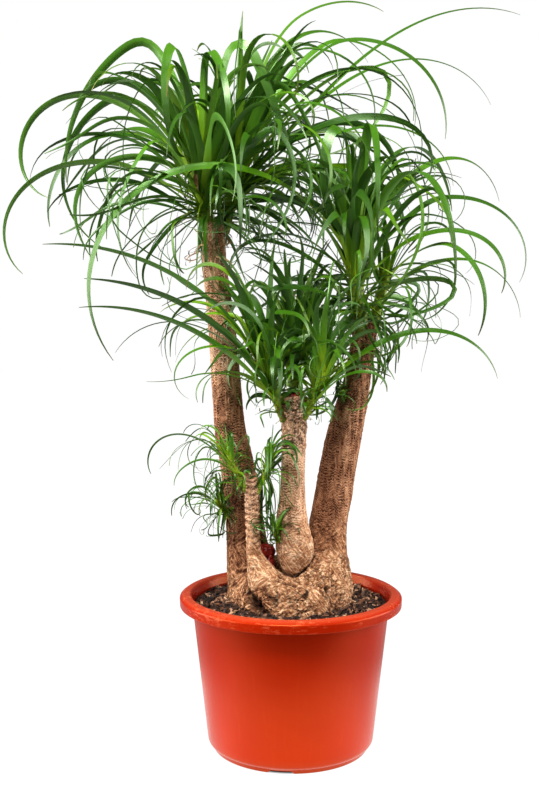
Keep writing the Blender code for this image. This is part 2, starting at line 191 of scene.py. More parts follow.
class Finish:
    """A node tree, built step by step: each call adds a node and gives its output."""

    def __init__(self, name, holders="materials", shader="Principled BSDF", **settings):
        self.holder = getattr(bpy.data, holders).new(name)
        self.holder.use_nodes = True
        self.tree = self.holder.node_tree
        self.shader = self.tree.nodes[shader]
        self.set(**settings)

    def set(self, **settings):
        """Joins or sets the shader's own inputs, with _ for each space in their names."""
        for socket, value in settings.items():
            feed(self.shader.inputs[socket.replace("_", " ")], value)

    def node(self, kind, output, inputs, **settings):
        """Adds one node, sets it, and joins or sets its inputs by name or number."""
        made = self.tree.nodes.new("ShaderNode" + kind)
        for setting, value in settings.items():
            setattr(made, setting, value)
        for socket, value in inputs.items():
            feed(made.inputs[socket], value)
        return made.outputs[output]

    def place(self, stretch=(1, 1, 1), slant=0.0):
        """Object coordinates in metres, turned by a slant in degrees about the front-to-back axis
        and then multiplied by a factor for each axis."""
        plain = self.node("TexCoord", "Object", {})
        leant = self.node("Mapping", "Vector", {"Vector": plain, "Rotation": (0, np.radians(slant), 0)})
        return self.node("Mapping", "Vector", {"Vector": leant, "Scale": stretch})

    def axis(self, number):
        """The object coordinate along X, Y or Z, which are 0, 1 and 2."""
        return self.node("SeparateXYZ", number, {0: self.place()})

    def noise(self, scale, detail=3.0, roughness=0.55, stretch=(1, 1, 1), slant=0.0, where=None):
        """Cloudy noise of 0..1 with the given number of waves to the metre."""
        where = self.place(stretch, slant) if where is None else where
        return self.node("TexNoise", "Fac", {"Vector": where, "Scale": scale, "Detail": detail,
                                             "Roughness": roughness})

    def math(self, operation, a, b=0.0):
        """One sum of one or two numbers."""
        return self.node("Math", 0, {0: a, 1: b}, operation=operation)

    def times(self, a, b, plus=0.0):
        """a times b, plus a third number."""
        return self.node("Math", 0, {0: a, 1: b, 2: plus}, operation="MULTIPLY_ADD")

    def between(self, share, a, b):
        """A number that goes from a to b as the share goes from 0 to 1."""
        return self.times(self.math("SUBTRACT", b, a), share, a)

    def span(self, value, low, high, out_low=0.0, out_high=1.0):
        """Carries low..high on to out_low..out_high, and holds it there outside."""
        return self.node("MapRange", 0, {0: value, 1: low, 2: high, 3: out_low, 4: out_high})

    def ramp(self, value, *stops):
        """A colour for each value, through stops of (place, colour)."""
        made = self.tree.nodes.new("ShaderNodeValToRGB")
        for _ in stops[2:]:
            made.color_ramp.elements.new(0.5)
        for element, (place, colour) in zip(made.color_ramp.elements, stops):
            element.position = place
            element.color = (*colour, 1.0)
        feed(made.inputs["Fac"], value)
        return made.outputs["Color"]

    def mix(self, share, first, second, blend="MIX"):
        """Two colours mixed by a share of 0..1."""
        return self.node("Mix", 2, {0: share, 6: first, 7: second}, data_type="RGBA", blend_type=blend)

    def mark(self, name):
        """The piece's own number of that name."""
        return self.node("Attribute", "Fac", {}, attribute_name=name)

    def finished(self, height, depth, strength, **settings):
        """The material, with small relief from a height of 0..1 that is depth metres deep."""
        self.set(Normal=self.node("Bump", "Normal", {"Height": height, "Distance": depth,
                                                     "Strength": strength}), **settings)
        return self.holder


def pot_plastic():
    """Satin terracotta-coloured plastic with mould grain, faint draw lines and pale scuffs. The top
    of the rim is painted paler as a painted highlight, and the foot is darker, with dust and
    painted shade.
    """
    skin = Finish("pot_plastic", Specular_IOR_Level=0.7, Specular_Tint=(1.0, 0.38, 0.11))
    cloud = skin.noise(9, 1)
    drawn = skin.noise(160, 2, stretch=(1, 1, 0.06))
    grain = skin.noise(1500, 2)
    colour = skin.ramp(cloud, (0.0, (0.32, 0.01, 0.0003)), (1.0, (0.44, 0.022, 0.0008)))
    colour = skin.mix(skin.span(drawn, 0.55, 0.8, 0.0, 0.12), colour, (0.5, 0.055, 0.01))
    height = skin.axis(2)
    on_rim = skin.span(height, pot_height - 0.024, pot_height - 0.014)
    rubbed = skin.span(skin.noise(17, 2), 0.48, 0.66)
    scuffed = skin.span(skin.noise(75, 6, 0.72, (1, 1, 3.5)), 0.52, 0.66)
    scuffs = skin.times(skin.times(scuffed, on_rim), rubbed)
    # Painted highlight: the top few millimetres of the rim are painted paler, mixed in with the real scuffs.
    painted_rim_highlight = skin.span(height, pot_height - 0.004, pot_height - 0.001, 0.0, 0.22)
    colour = skin.mix(skin.times(scuffs, 0.6, painted_rim_highlight), colour, (0.72, 0.2, 0.09))
    # Darker and browner towards the foot: partly dust, partly painted shade at the foot.
    dust_and_shade = skin.span(height, 0.0, 0.02, 0.45, 0.0)
    colour = skin.mix(skin.times(dust_and_shade, cloud), colour, (0.26, 0.1, 0.05))
    gloss = skin.span(skin.times(cloud, 0.5, scuffs), 0.0, 1.5, 0.2, 0.5)
    return skin.finished(skin.math("ADD", grain, drawn), 0.0002, 0.3, Base_Color=colour, Roughness=gloss)


def drilled(shell):
    """Drain holes cut through the floor, in a ring, by one upright cylinder each."""
    hole_radius, hole_ring, hole_count, hole_depth = 0.006, 0.08, 6, 0.02
    cutter_shape = bmesh.new()
    for turn in full_turn(hole_count):
        ring = bmesh.ops.create_cone(cutter_shape, cap_ends=True, segments=32, radius1=hole_radius,
                                     radius2=hole_radius, depth=hole_depth)["verts"]
        bmesh.ops.translate(cutter_shape, verts=ring, vec=pot_axis + turned(hole_ring, turn, floor_top))
    cutter_mesh = bpy.data.meshes.new("drain_holes")
    cutter_shape.to_mesh(cutter_mesh)
    cutter_shape.free()
    cutter = placed("drain_holes", cutter_mesh)
    holes = shell.modifiers.new("drain_holes", "BOOLEAN")
    holes.object = cutter
    holes.solver = "EXACT"
    cut = shell.evaluated_get(bpy.context.evaluated_depsgraph_get())
    drained = bpy.data.meshes.new_from_object(cut)
    shell.modifiers.clear()
    shell.data = drained
    bpy.data.objects.remove(cutter)


def pot():
    """The outline turned round the axis. On the foot ring the underside lifts by the notch
    height wherever the angle is inside a notch, of which there is one to each quarter turn."""
    first_notch, notch_height, notch_half_width, notch_slope = np.radians(-98), 0.0035, 0.017, 0.0015
    quarter = np.pi / 2
    steps = 240
    corners = [
        (0.0, floor_top, 0), (body_foot_radius - 0.007, floor_top, 0.006),
        (body_top_radius - wall, rim_under - 0.012, 0.02),
        (body_top_radius - wall, rim_under + 0.004, 0.003),
        (mouth_radius, pot_height - 0.004, 0.002), (mouth_radius + 0.003, pot_height, 0.0022),
        (rim_radius - 0.006, pot_height - 0.0005, 0.004), (rim_radius, pot_height - 0.0045, 0.003),
        (rim_radius - 0.0005, rim_under, 0.0006), (rim_radius - 0.0005 - wall, rim_under, 0.0006),
        (rim_radius - wall, pot_height - 0.007, 0.002),
        (body_top_radius + 0.001, pot_height - 0.007, 0.002),
        (body_top_radius, rim_under - 0.004, 0.02),
        (body_foot_radius, foot_height + 0.004, 0.009),
        (foot_radius + 0.0008, foot_height, 0.0006), (foot_radius, 0.0, 0.0006),
        (foot_radius - foot_width, 0.0, 0.0006),
        (foot_radius - foot_width, floor_top - wall, 0.001), (0.0, floor_top - wall, 0),
    ]
    radius, height = resampled(rounded(corners), 0.012).T
    points = revolved(radius, height, steps)
    turn = (full_turn(steps) - first_notch + quarter / 2) % quarter - quarter / 2
    from_notch = foot_radius * np.abs(turn)
    notch = notch_height * np.clip((notch_half_width - from_notch) / notch_slope, 0, 1)
    on_foot = (radius < foot_radius + 0.0004) & (radius > foot_radius - foot_width - 0.001)
    points[on_foot, :, 2] = np.maximum(points[on_foot, :, 2], notch)
    drilled(piece("pot_shell", points, pot_plastic(), sharp=50, replaces="pot"))


pot()

# ------------------------ soil
# A moist mix of peat and composted bark: a lumpy crumbed surface that rises a little towards
# the plant, with loose bark chips lying on it.

soil_edge = 0.208
soil_middle = 0.214
soil_radius = body_top_radius - wall - 0.0006


def hashed(cell, salt):
    """A steady random number of 0..1 for each whole-number cell (..., 3), by mixing its bits."""
    mixed = (cell[..., 0] * 73856093) ^ (cell[..., 1] * 19349663) ^ (cell[..., 2] * 83492791)
    mixed = (mixed ^ (salt * 40503 + 977)) & 0xFFFFFFFF
    mixed = ((mixed ^ (mixed >> 15)) * 2246822519) & 0xFFFFFFFF
    mixed = ((mixed ^ (mixed >> 13)) * 3266489917) & 0xFFFFFFFF
    return (mixed ^ (mixed >> 16)) / 4294967296.0


def lumps(points, size, salt=0):
    """A smooth field of -1..1: random numbers on a lattice of the given size, one for all axes or
    one for each, blended across each cell by 3 t^2 - 2 t^3."""
    scaled = points / np.array(size)
    cell = np.floor(scaled).astype(np.int64)
    t = scaled - cell
    t = t * t * (3 - 2 * t)
    total = 0
    for corner in np.array(list(product((0, 1), repeat=3))):
        total = total + np.prod(np.where(corner == 1, t, 1 - t), axis=-1) * hashed(cell + corner, salt)
    return 2 * total - 1


def swung(a, b, angle):
    """Two coordinates turned together by an angle."""
    return a * np.cos(angle) - b * np.sin(angle), a * np.sin(angle) + b * np.cos(angle)


def soil_height(share):
    """Height of the even slope at a share of the soil's radius."""
    return soil_middle + (soil_edge - soil_middle) * share ** 2


def soil_finish():
    """Dark brown-black crumbs, each chip in its own shade, with damp glints."""
    crumb = Finish("soil_mix", Specular_IOR_Level=0.45)
    cloud = crumb.noise(260, 5, 0.65)
    base = crumb.ramp(cloud, (0.36, (0.008, 0.0035, 0.002)), (0.54, (0.045, 0.02, 0.011)),
                      (0.72, (0.26, 0.115, 0.06)))
    chip = crumb.ramp(crumb.mark("tone"), (0.0, (0.008, 0.0035, 0.002)), (0.5, (0.06, 0.025, 0.014)),
                      (0.78, (0.34, 0.16, 0.085)), (1.0, (0.95, 0.62, 0.38)))
    return crumb.finished(crumb.noise(900, 4, 0.7), 0.0012, 0.8, Base_Color=crumb.mix(0.75, base, chip),
                          Roughness=crumb.span(cloud, 0.3, 0.7, 0.8, 0.34))


def soil():
    """The fill as an outline turned round the axis. On top its height is the slope from middle
    to edge plus lumps of three sizes, and the sides and underside follow the pot's inside."""
    rings, steps = 110, 300
    top = np.linspace(0, 1, rings)
    sides = np.array([(soil_radius - 0.0005, rim_under - 0.016),
                      (body_foot_radius - wall - 0.004, floor_top + 0.009),
                      (body_foot_radius - 0.016, floor_top + 0.0006), (0.0, floor_top + 0.0006)])
    outline = np.vstack([np.stack([top * soil_radius, soil_height(top)], axis=1), sides])
    points = revolved(*outline.T, steps)
    flat = points * (1, 1, 0)
    crumbs = (0.0022 * lumps(flat, 0.022, 1) + 0.0016 * lumps(flat, 0.008, 2)
              + 0.0012 * lumps(flat, 0.0035, 3))
    loose = np.ones(len(points))
    loose[:3] = (0, 0.3, 0.7)
    loose[rings - 3:] = 0
    points[..., 2] += crumbs * loose[:, None]
    tone = 0.35 + 0.3 * lumps(flat, 0.005, 4)
    piece("soil_fill", points, SOIL_MIX, marks={"tone": tone}, replaces="soil")


def soil_chips(count):
    """Loose chips: a cube's eight corners pushed about at random, stretched to a chip's length,
    width and thickness, turned any way round and laid on the soil's slope."""
    rng = np.random.default_rng(5)
    corner = np.array(list(product((-1, 1), repeat=3)), float) / 2
    sides = np.array([(0, 1, 3, 2), (4, 6, 7, 5), (0, 4, 5, 1), (2, 3, 7, 6), (0, 2, 6, 4), (1, 5, 7, 3)])
    length = rng.uniform(0.003, 0.015, count) * rng.uniform(0.5, 1.0, count)
    size = np.stack([length, length * rng.uniform(0.18, 0.5, count),
                     rng.uniform(0.0012, 0.0034, count)], axis=-1)
    x, y, z = np.moveaxis((corner + rng.uniform(-0.22, 0.22, (count, 8, 3))) * size[:, None], -1, 0)
    turn = rng.uniform(0, 2 * np.pi, count)[:, None]
    tilt = rng.normal(0, 0.45, count)[:, None]
    x, z = swung(x, z, tilt)
    x, y = swung(x, y, turn)
    reach = np.sqrt(rng.uniform(0.28, 1.0, count)) * (soil_radius - 0.006)
    way = rng.uniform(0, 2 * np.pi, count)
    centre = turned(reach, way, soil_height(reach / soil_radius) + rng.uniform(0.0, 0.003, count))
    points = np.stack([x, y, z], axis=-1) + centre[:, None]
    faces = (sides + 8 * np.arange(count)[:, None, None]).reshape(-1, 4)
    tone = np.repeat(rng.uniform(0, 1, count) ** 1.5, 8)
    piece("soil_chips", points, SOIL_MIX, faces, marks={"tone": tone}, sharp=30)


SOIL_MIX = soil_finish()
soil()
soil_chips(2600)

# ------------------------ trunks and pruned stubs
# Woody stems with thin corky bark. Each is a round, tapering shaft with old leaf scars across
# it and fine cracks, and three of them end in a pruning cut.

# Stations up each stem from the pot's axis: x, y, z, radius.
STEMS = {
    "trunk_left": [(-0.058, 0.016, 0.205, 0.026), (-0.059, 0.018, 0.228, 0.034),
                   (-0.066, 0.02, 0.318, 0.028), (-0.078, 0.02, 0.41, 0.0245),
                   (-0.088, 0.02, 0.46, 0.0225), (-0.098, 0.02, 0.595, 0.0195),
                   (-0.11, 0.02, 0.7, 0.017), (-0.113, 0.02, 0.749, 0.0175)],
    "trunk_right": [(0.053, 0.004, 0.222, 0.025), (0.053, 0.008, 0.265, 0.0285),
                    (0.0535, 0.014, 0.312, 0.0275), (0.063, 0.018, 0.372, 0.0262),
                    (0.0795, 0.02, 0.458, 0.0245), (0.094, 0.02, 0.52, 0.0205),
                    (0.103, 0.02, 0.572, 0.0185), (0.109, 0.02, 0.606, 0.017)],
    "stub_middle": [(0.0, -0.042, 0.25, 0.004), (0.002, -0.038, 0.264, 0.0165),
                    (0.005, -0.034, 0.29, 0.027), (0.001, -0.032, 0.33, 0.0235),
                    (0.002, -0.03, 0.38, 0.018), (0.004, -0.03, 0.46, 0.0168),
                    (0.003, -0.03, 0.508, 0.018)],
    "stub_front": [(-0.034, -0.052, 0.228, 0.018), (-0.038, -0.05, 0.252, 0.0235),
                   (-0.049, -0.047, 0.28, 0.0146), (-0.053, -0.045, 0.304, 0.0108),
                   (-0.056, -0.045, 0.395, 0.01)],
    "stub_back": [(-0.026, -0.014, 0.236, 0.0085), (-0.031, -0.014, 0.258, 0.0095),
                  (-0.036, -0.014, 0.276, 0.0095)],
}

# Fused bulbs of the swollen base from the pot's axis: centre and half sizes.
BULBS = [
    ((0.034, -0.004, 0.222), (0.054, 0.07, 0.056)),
    ((0.052, 0.006, 0.236), (0.033, 0.042, 0.064)),
    ((0.004, -0.052, 0.214), (0.05, 0.046, 0.042)),
    ((-0.052, 0.006, 0.214), (0.038, 0.05, 0.046)),
    ((-0.034, -0.042, 0.218), (0.038, 0.044, 0.044)),
    ((-0.006, 0.034, 0.218), (0.064, 0.056, 0.052)),
]


def smooth(value, low, high):
    """0 below low, 1 above high, and 3 t^2 - 2 t^3 between."""
    t = np.clip((value - low) / (high - low), 0, 1)
    return t * t * (3 - 2 * t)


def plates(points, size, salt):
    """Cracked plates: each point belongs to its nearest random seed. Gives how far it is from the
    border with the next plate, 0 on that border, and a random number for its plate."""
    scaled = points / np.array(size)
    home = np.floor(scaled).astype(np.int64)
    nearest = following = np.full(points.shape[:-1], 9.0)
    number = 0
    for step in product((-1, 0, 1), repeat=3):
        cell = home + np.array(step)
        seed = cell + np.stack([hashed(cell, salt + k) for k in (1, 2, 3)], axis=-1)
        distance = np.linalg.norm(scaled - seed, axis=-1)
        number = np.where(distance < nearest, hashed(cell, salt + 4), number)
        following = np.where(distance < nearest, nearest, np.minimum(following, distance))
        nearest = np.minimum(nearest, distance)
    return following - nearest, number


def wander(points, size, salt):
    """A smooth push of -1..1 along each axis."""
    return np.stack([lumps(points, size, salt + k) for k in range(3)], axis=-1)


def melted(distances, melt):
    """The least of some distances, with a fillet of about melt where two of them meet: the
    melted -log of the sum of exp(-distance / melt)."""
    total = sum(np.exp(-np.clip(distance, -0.1, 0.3) / melt) for distance in distances)
    return -melt * np.log(total + 1e-30)


def smooth_line(stations, count):
    """A Catmull-Rom line through the stations, read at even steps."""
    knots = np.array(stations)
    knots = np.vstack([2 * knots[0] - knots[1], knots, 2 * knots[-1] - knots[-2]])
    u = np.linspace(0, len(stations) - 1, count)
    i = np.minimum(u.astype(int), len(stations) - 2)
    t = (u - i)[:, None]
    a, b, c, d = (knots[i + k] for k in range(4))
    return 0.5 * (2 * b + (c - a) * t + (2 * a - 5 * b + 4 * c - d) * t ** 2
                  + (3 * b - a - 3 * c + d) * t ** 3)


def outside_stem(points, name):
    """How far points lie outside a stem, read level with each point: the distance from the
    stem's middle at that height less its radius there."""
    line = smooth_line(STEMS[name], 60)
    x, y, radius = (np.interp(points[..., 2], line[:, 2], line[:, k]) for k in (0, 1, 3))
    beyond = np.maximum(line[0, 2] - points[..., 2], 0) + np.maximum(points[..., 2] - line[-1, 2], 0)
    return np.hypot(points[..., 0] - x, points[..., 1] - y) - radius + 2 * beyond


def outside_bulbs(points):
    """How far points lie outside the fused bulbs: each ellipsoid's distance k0 (k0 - 1) / k1,
    where k0 is |p / size| and k1 is |p / size^2|, melted together over a few millimetres."""
    distances = []
    for centre, half in BULBS:
        off, half = points - np.array(centre), np.array(half)
        k0 = np.linalg.norm(off / half, axis=-1)
        k1 = np.linalg.norm(off / half ** 2, axis=-1) + 1e-9
        distances.append(k0 * (k0 - 1) / k1)
    return melted(distances, 0.005)


def bark_finish():
    """Tan corky bark: short dark dashes lie across the trunks in upright rows, sin(height + the
    row's own shift), with faint fissures up them. The base is fibrous like a root. Grain and
    weathered patches cover both. The cracks, the clefts between stems and the holes are painted
    red-brown to nearly black: painted shade, and in the cracks also the bark's darker colour."""
    bark = Finish("bark", Roughness=0.85, Specular_IOR_Level=0.12)
    rows = bark.math("SNAP", bark.noise(110, 2, stretch=(1, 1, 0.14)), 0.08)
    phase = bark.times(rows, 30, bark.times(bark.noise(62, 2.5, 0.5, (1, 1, 1.6)), 14))
    wave = bark.math("SINE", bark.times(bark.axis(2), 1600, phase))
    broken = bark.span(bark.noise(230, 3, 0.6, (1, 1, 0.22)), 0.38, 0.6)
    dashes = bark.times(bark.span(wave, -0.35, 0.85), broken)
    fissures = bark.span(bark.noise(190, 3, 0.6, (1, 1, 0.14)), 0.34, 0.6, 0.55, 1.0)
    across = bark.math("SUBTRACT", fissures, bark.times(dashes, 0.95))
    leaning, lying = (bark.noise(300, 3, 0.7, (1, 1, 0.16), slant) for slant in (38, -55))
    patch = bark.span(bark.noise(42, 2), 0.46, 0.54)
    fibres = bark.span(bark.between(patch, lying, leaning), 0.4, 0.62, 0.0, 1.25)
    rooty = bark.mark("rooty")
    light = bark.between(rooty, across, fibres)
    speck = bark.noise(520, 4, 0.7, (1, 1, 1.4))
    shade = bark.times(light, 0.46, bark.times(bark.mark("tone"), 0.32))
    shade = bark.times(speck, 0.55, bark.math("SUBTRACT", shade, 0.16))
    colour = bark.ramp(shade, (0.18, (0.06, 0.021, 0.01)), (0.36, (0.21, 0.085, 0.04)),
                       (0.58, (0.44, 0.215, 0.105)), (0.78, (0.65, 0.37, 0.2)),
                       (0.95, (0.85, 0.57, 0.36)))
    weathered = bark.span(bark.noise(30, 4, 0.6), 0.55, 0.72, 0.0, 0.22)
    colour = bark.mix(weathered, colour, (0.24, 0.1, 0.05))
    colour = bark.mix(rooty, bark.mix(1.0, colour, (1.02, 1.04, 1.14), "MULTIPLY"), colour)
    colour = bark.mix(bark.times(bark.mark("cut"), 0.7), colour, (0.62, 0.32, 0.2))
    # Painted shade: cracks, clefts between stems and holes are painted nearly black. In the cracks this is
    # partly the bark's own darker colour, and at cut ends it is the dark pith.
    colour = bark.mix(bark.times(bark.mark("crack_and_shade"), 0.92), colour, (0.03, 0.01, 0.005))
    return bark.finished(bark.times(speck, 0.6, light), 0.0015, 1.0, Base_Color=colour)


def stem_grid(stations, rows, columns, end):
    """A shaft whose section is a circle square to its middle line. The end is a list of
    (share of the radius, lift in metres) rings that close the top, and the foot closes flat."""
    line = smooth_line(stations, rows)
    share, lift = np.array([(0, 0)] + [(1, 0)] * rows + end).T
    row = np.clip(np.arange(-1, rows + len(end)), 0, rows - 1)
    along = unit(np.gradient(line[:, :3], axis=0))[row]
    middle = line[row, :3] + along * lift[:, None]
    side = unit(np.cross(along, (0.0, 1.0, 0.0)))
    depth = np.cross(along, side)
    angle = full_turn(columns)[:, None]
    out = side[:, None] * np.cos(angle) + depth[:, None] * np.sin(angle)
    return middle[:, None] + out * (line[row, 3] * share)[:, None, None], out, share


def bark_relief(points, plate, depth, swell, salt):
    """Height of the bark over the smooth shaft: broad swellings and flat plates sunk along the
    cracks between them, some deep and most hardly open. Gives height, a dark mark of 0..1 in
    the cracks that is partly painted shade, and tone 0..1."""
    edge, number = plates(points, plate, salt)
    opened = smooth(lumps(points, 0.03, salt + 30), -0.3, 0.5)
    split = (1 - smooth(edge, 0.0, 0.22)) * (0.25 + 0.75 * opened)
    height = (swell * lumps(points, (0.045, 0.045, 0.06), salt + 20) - depth * split
              + 0.35 * depth * number + 0.0004 * lumps(points, 0.004, salt + 21))
    tone = np.clip(0.5 * number + 0.3 * lumps(points, 0.02, salt + 22) + 0.28, 0, 1)
    return height, 0.5 * split ** 2, tone


def bump(distance, width):
    """1 at no distance, falling as exp(-(distance / width)^2)."""
    return np.exp(-(distance / width) ** 2)


def cracked(crack_and_shade, more):
    """A dark mark of cracks and painted shade, darkened further, up to 1."""
    return np.clip(crack_and_shade + more, 0, 1)


def ribbed(points, height, crack_and_shade, tone):
    """The right trunk's own bark: fine ribs run up it and fade near the top. Its foot is paler,
    and its left side is darker as painted shade."""
    x, z = points[..., 0], points[..., 2]
    ribs = lumps(points, (0.0055, 0.0055, 0.11), 7) * (1 - 0.7 * smooth(z, 0.44, 0.54))
    foot = 0.25 * (1 - smooth(z, 0.29, 0.36))
    # Painted shade: the trunk's left side is made darker.
    painted_shade_left = 0.22 * smooth(-x + 0.21 * (z - 0.3), -0.07, -0.03)
    return height + 0.0012 * ribs, crack_and_shade, tone + (0.36 * ribs - 0.22 + foot - painted_shade_left)


def scarred(points, height, crack_and_shade, tone):
    """The left trunk's own bark: a dark scar half way up it. Higher up the bark is painted lighter
    and lower down darker, as painted light and shade.
    """
    scar_x, scar_z = -0.092, 0.462
    x, z = points[..., 0], points[..., 2]
    scar = np.exp(-((x - scar_x) / 0.01) ** 2 - ((z - scar_z) / 0.007) ** 2)
    # Painted light and shade: lighter high up where leaves shade the trunk, darker low down.
    painted_light_and_shade = 0.8 * smooth(z, 0.48, 0.56) - 0.28
    return height - 0.0022 * scar, cracked(crack_and_shade, 0.8 * scar), tone + painted_light_and_shade


def scaly(points, height, crack_and_shade, tone):
    """The middle stub's own bark: below its cut, broken plates that lift like scales."""
    below_cut = smooth(points[..., 2], 0.42, 0.45)
    edge, flake = plates(points + 0.0035 * wander(points, 0.009, 340), (0.013, 0.013, 0.0046), 333)
    opened = 0.4 + 0.6 * smooth(lumps(points, 0.008, 345), -0.5, 0.3)
    split = (1 - smooth(edge, 0.0, 0.2)) * below_cut * opened
    height = height + (0.0026 * flake - 0.0018 * split) * below_cut
    return height, cracked(crack_and_shade, 0.95 * split), tone + (0.6 + 0.15 * below_cut)


def ringed(points, height, crack_and_shade, tone):
    """The front stub's own bark: rings of old leaf scars above its foot, each standing up as
    |sin(pi * height / spacing)|^0.7 with a little waver."""
    spacing = 0.0088
    above_foot = smooth(points[..., 2], 0.295, 0.315)
    phase = points[..., 2] / spacing + 0.8 * lumps(points, (0.018, 0.018, 0.025), 9)
    ring = np.abs(np.sin(np.pi * phase)) ** 0.7
    height = height + 0.0022 * (ring - 0.7) * above_foot
    crack_and_shade = crack_and_shade * (1 - 0.75 * above_foot) + 0.7 * (1 - smooth(ring, 0.15, 0.7)) * above_foot
    return height, crack_and_shade, tone * (1 - 0.5 * above_foot) + 0.5 * ring * above_foot + 0.55


# How each cut or growing top closes: share of the radius and lift of each ring.
CUT_END = [(0.97, 0.0016), (0.9, 0.002), (0.8, 0.0006), (0.55, -0.0006), (0.25, -0.0004), (0.0, 0.0)]
BROKEN_END = [(1.02, 0.002), (0.94, 0.0042), (0.82, 0.0034), (0.7, 0.0), (0.35, -0.0022), (0.0, -0.0026)]
ROUND_END = [(0.95, 0.002), (0.8, 0.004), (0.5, 0.0055), (0.0, 0.006)]
# How each stem is made: rows, columns, end, bark plate, its depth, swelling, and its own bark.
STEM_BARK = {
    "trunk_left": (330, 132, ROUND_END, (0.01, 0.01, 0.0058), 0.0006, 0.0014, scarred),
    "trunk_right": (250, 150, ROUND_END, (0.01, 0.01, 0.0058), 0.0007, 0.0018, ribbed),
    "stub_middle": (190, 120, CUT_END, (0.008, 0.008, 0.006), 0.0005, 0.0012, scaly),
    "stub_front": (150, 72, BROKEN_END, (0.01, 0.01, 0.005), 0.0003, 0.0008, ringed),
    "stub_back": (40, 48, CUT_END, (0.008, 0.008, 0.006), 0.0004, 0.0004, None),
}


def woody_stem(number, name):
    """One stem: its shaft pushed out by the bark's height, which sinks into a cleft beside each
    neighbour and is darkened there as painted shade. A cut end is ragged and pale with a dark
    pith, and a broken one is higher behind."""
    rows, columns, end, plate, depth, swell, own_bark = STEM_BARK[name]
    points, out, share = stem_grid(STEMS[name], rows, columns, end)
    height, crack_and_shade, tone = bark_relief(points, plate, depth, swell, 100 * number)
    if own_bark:
        height, crack_and_shade, tone = own_bark(points, height, crack_and_shade, tone)
    gaps = [outside_bulbs(points)] if name == "stub_middle" else []
    gaps += [outside_stem(points, other) for other in STEMS if other != name]
    # Painted shade: the bark is sunk and darkened in the cleft beside each neighbour.
    for gap in gaps:
        height = height - 0.0012 * bump(gap, 0.003)
        crack_and_shade = cracked(crack_and_shade, 0.9 * bump(gap, 0.0028))
    body = (share == 1.0)[:, None]
    rooty = 0.9 * (1 - smooth(points[..., 2], 0.27, 0.37))
    points = points + out * np.where(body, height, 0.0)[..., None]
    broken = end is BROKEN_END
    above = (end is not ROUND_END) * (np.arange(len(share)) > rows - 2)[:, None] + 0 * rooty
    share = share[:, None]
    ragged = (0.004 if broken else 0.0022) * lumps(points, 0.006, 77) * smooth(share, 0.2, 0.8)
    slope = 0.28 * broken * (points[..., 1] - STEMS[name][-1][1])
    points[..., 2] += above * (ragged + slope)
    pith = (0.75 if broken else 0.55) * (1 - smooth(share, 0.5, 0.85))
    marks = {"crack_and_shade": np.where(body, crack_and_shade, pith), "tone": np.clip(tone, 0, 1.5), "rooty": rooty,
             "cut": above * (0.35 + 0.65 * smooth(share, 0.6, 0.85))}
    piece(f"{name}_wood", points, BARK, marks=marks, replaces=name)


BARK = bark_finish()
for number, name in enumerate(STEMS, 1):
    woody_stem(number, name)

# ------------------------ swollen base
# The caudex: water-storing wood swollen into fused bulbs, with thick cracked bark. The stems
# grow out of it, and deep clefts run where they meet.

CAUDEX_HEART = np.array([0.004, -0.006, 0.205])
# Swellings under the middle stub: centre and radius.
KNOBS = [((-0.013, -0.04, 0.246), 0.019), ((0.032, -0.03, 0.258), 0.024)]
# Clefts and holes in the front, sunk and darkened as painted shade: both ends from the pot's axis, half width
# and depth.
CLEFTS = [((-0.056, -0.074, 0.231), (-0.05, -0.08, 0.226), 0.0075, 0.013),
          ((-0.072, -0.046, 0.3), (-0.062, -0.066, 0.24), 0.004, 0.006),
          ((-0.05, -0.082, 0.224), (-0.036, -0.09, 0.214), 0.0038, 0.005),
          ((-0.018, -0.08, 0.262), (-0.024, -0.09, 0.232), 0.0034, 0.0055),
          ((0.03, -0.07, 0.262), (0.018, -0.086, 0.238), 0.0026, 0.003),
          ((0.048, -0.066, 0.246), (0.044, -0.074, 0.22), 0.0026, 0.003)]


def outside_caudex(points):
    """How far points lie outside the base: the bulbs melted together with the feet of the stems
    that grow out of it, which sink under their own bark as they rise."""
    distances = [outside_bulbs(points)]
    distances += [np.linalg.norm(points - np.array(centre), axis=-1) - radius for centre, radius in KNOBS]
    for name in ("trunk_left", "trunk_right", "stub_front"):
        foot = STEMS[name][1][2]
        sunk = 0.001 + 0.01 * smooth(points[..., 2], foot, foot + 0.06)
        distances.append(outside_stem(points, name) + sunk)
    return melted(distances, 0.0045)


def fibrous(points, salt):
    """Root-like bark: long narrow plates that slant one way or the other, or stand upright, patch
    by patch. The places are turned by each slant and then read as stretched plates."""
    pull = wander(points, 0.022, salt + 50) * 3
    share = np.exp(pull - pull.max(-1, keepdims=True))
    share /= share.sum(-1, keepdims=True)
    edge = tone = 0
    for k, slant in enumerate(np.radians([42, -50, 8])):
        x, z = swung(points[..., 0], points[..., 2], slant)
        leant = np.stack([x, points[..., 1], z], axis=-1)
        border, number = plates(leant, (0.0046, 0.0046, 0.019), salt + 10 * k)
        edge = edge + share[..., k] * border
        tone = tone + share[..., k] * number
    return edge, tone


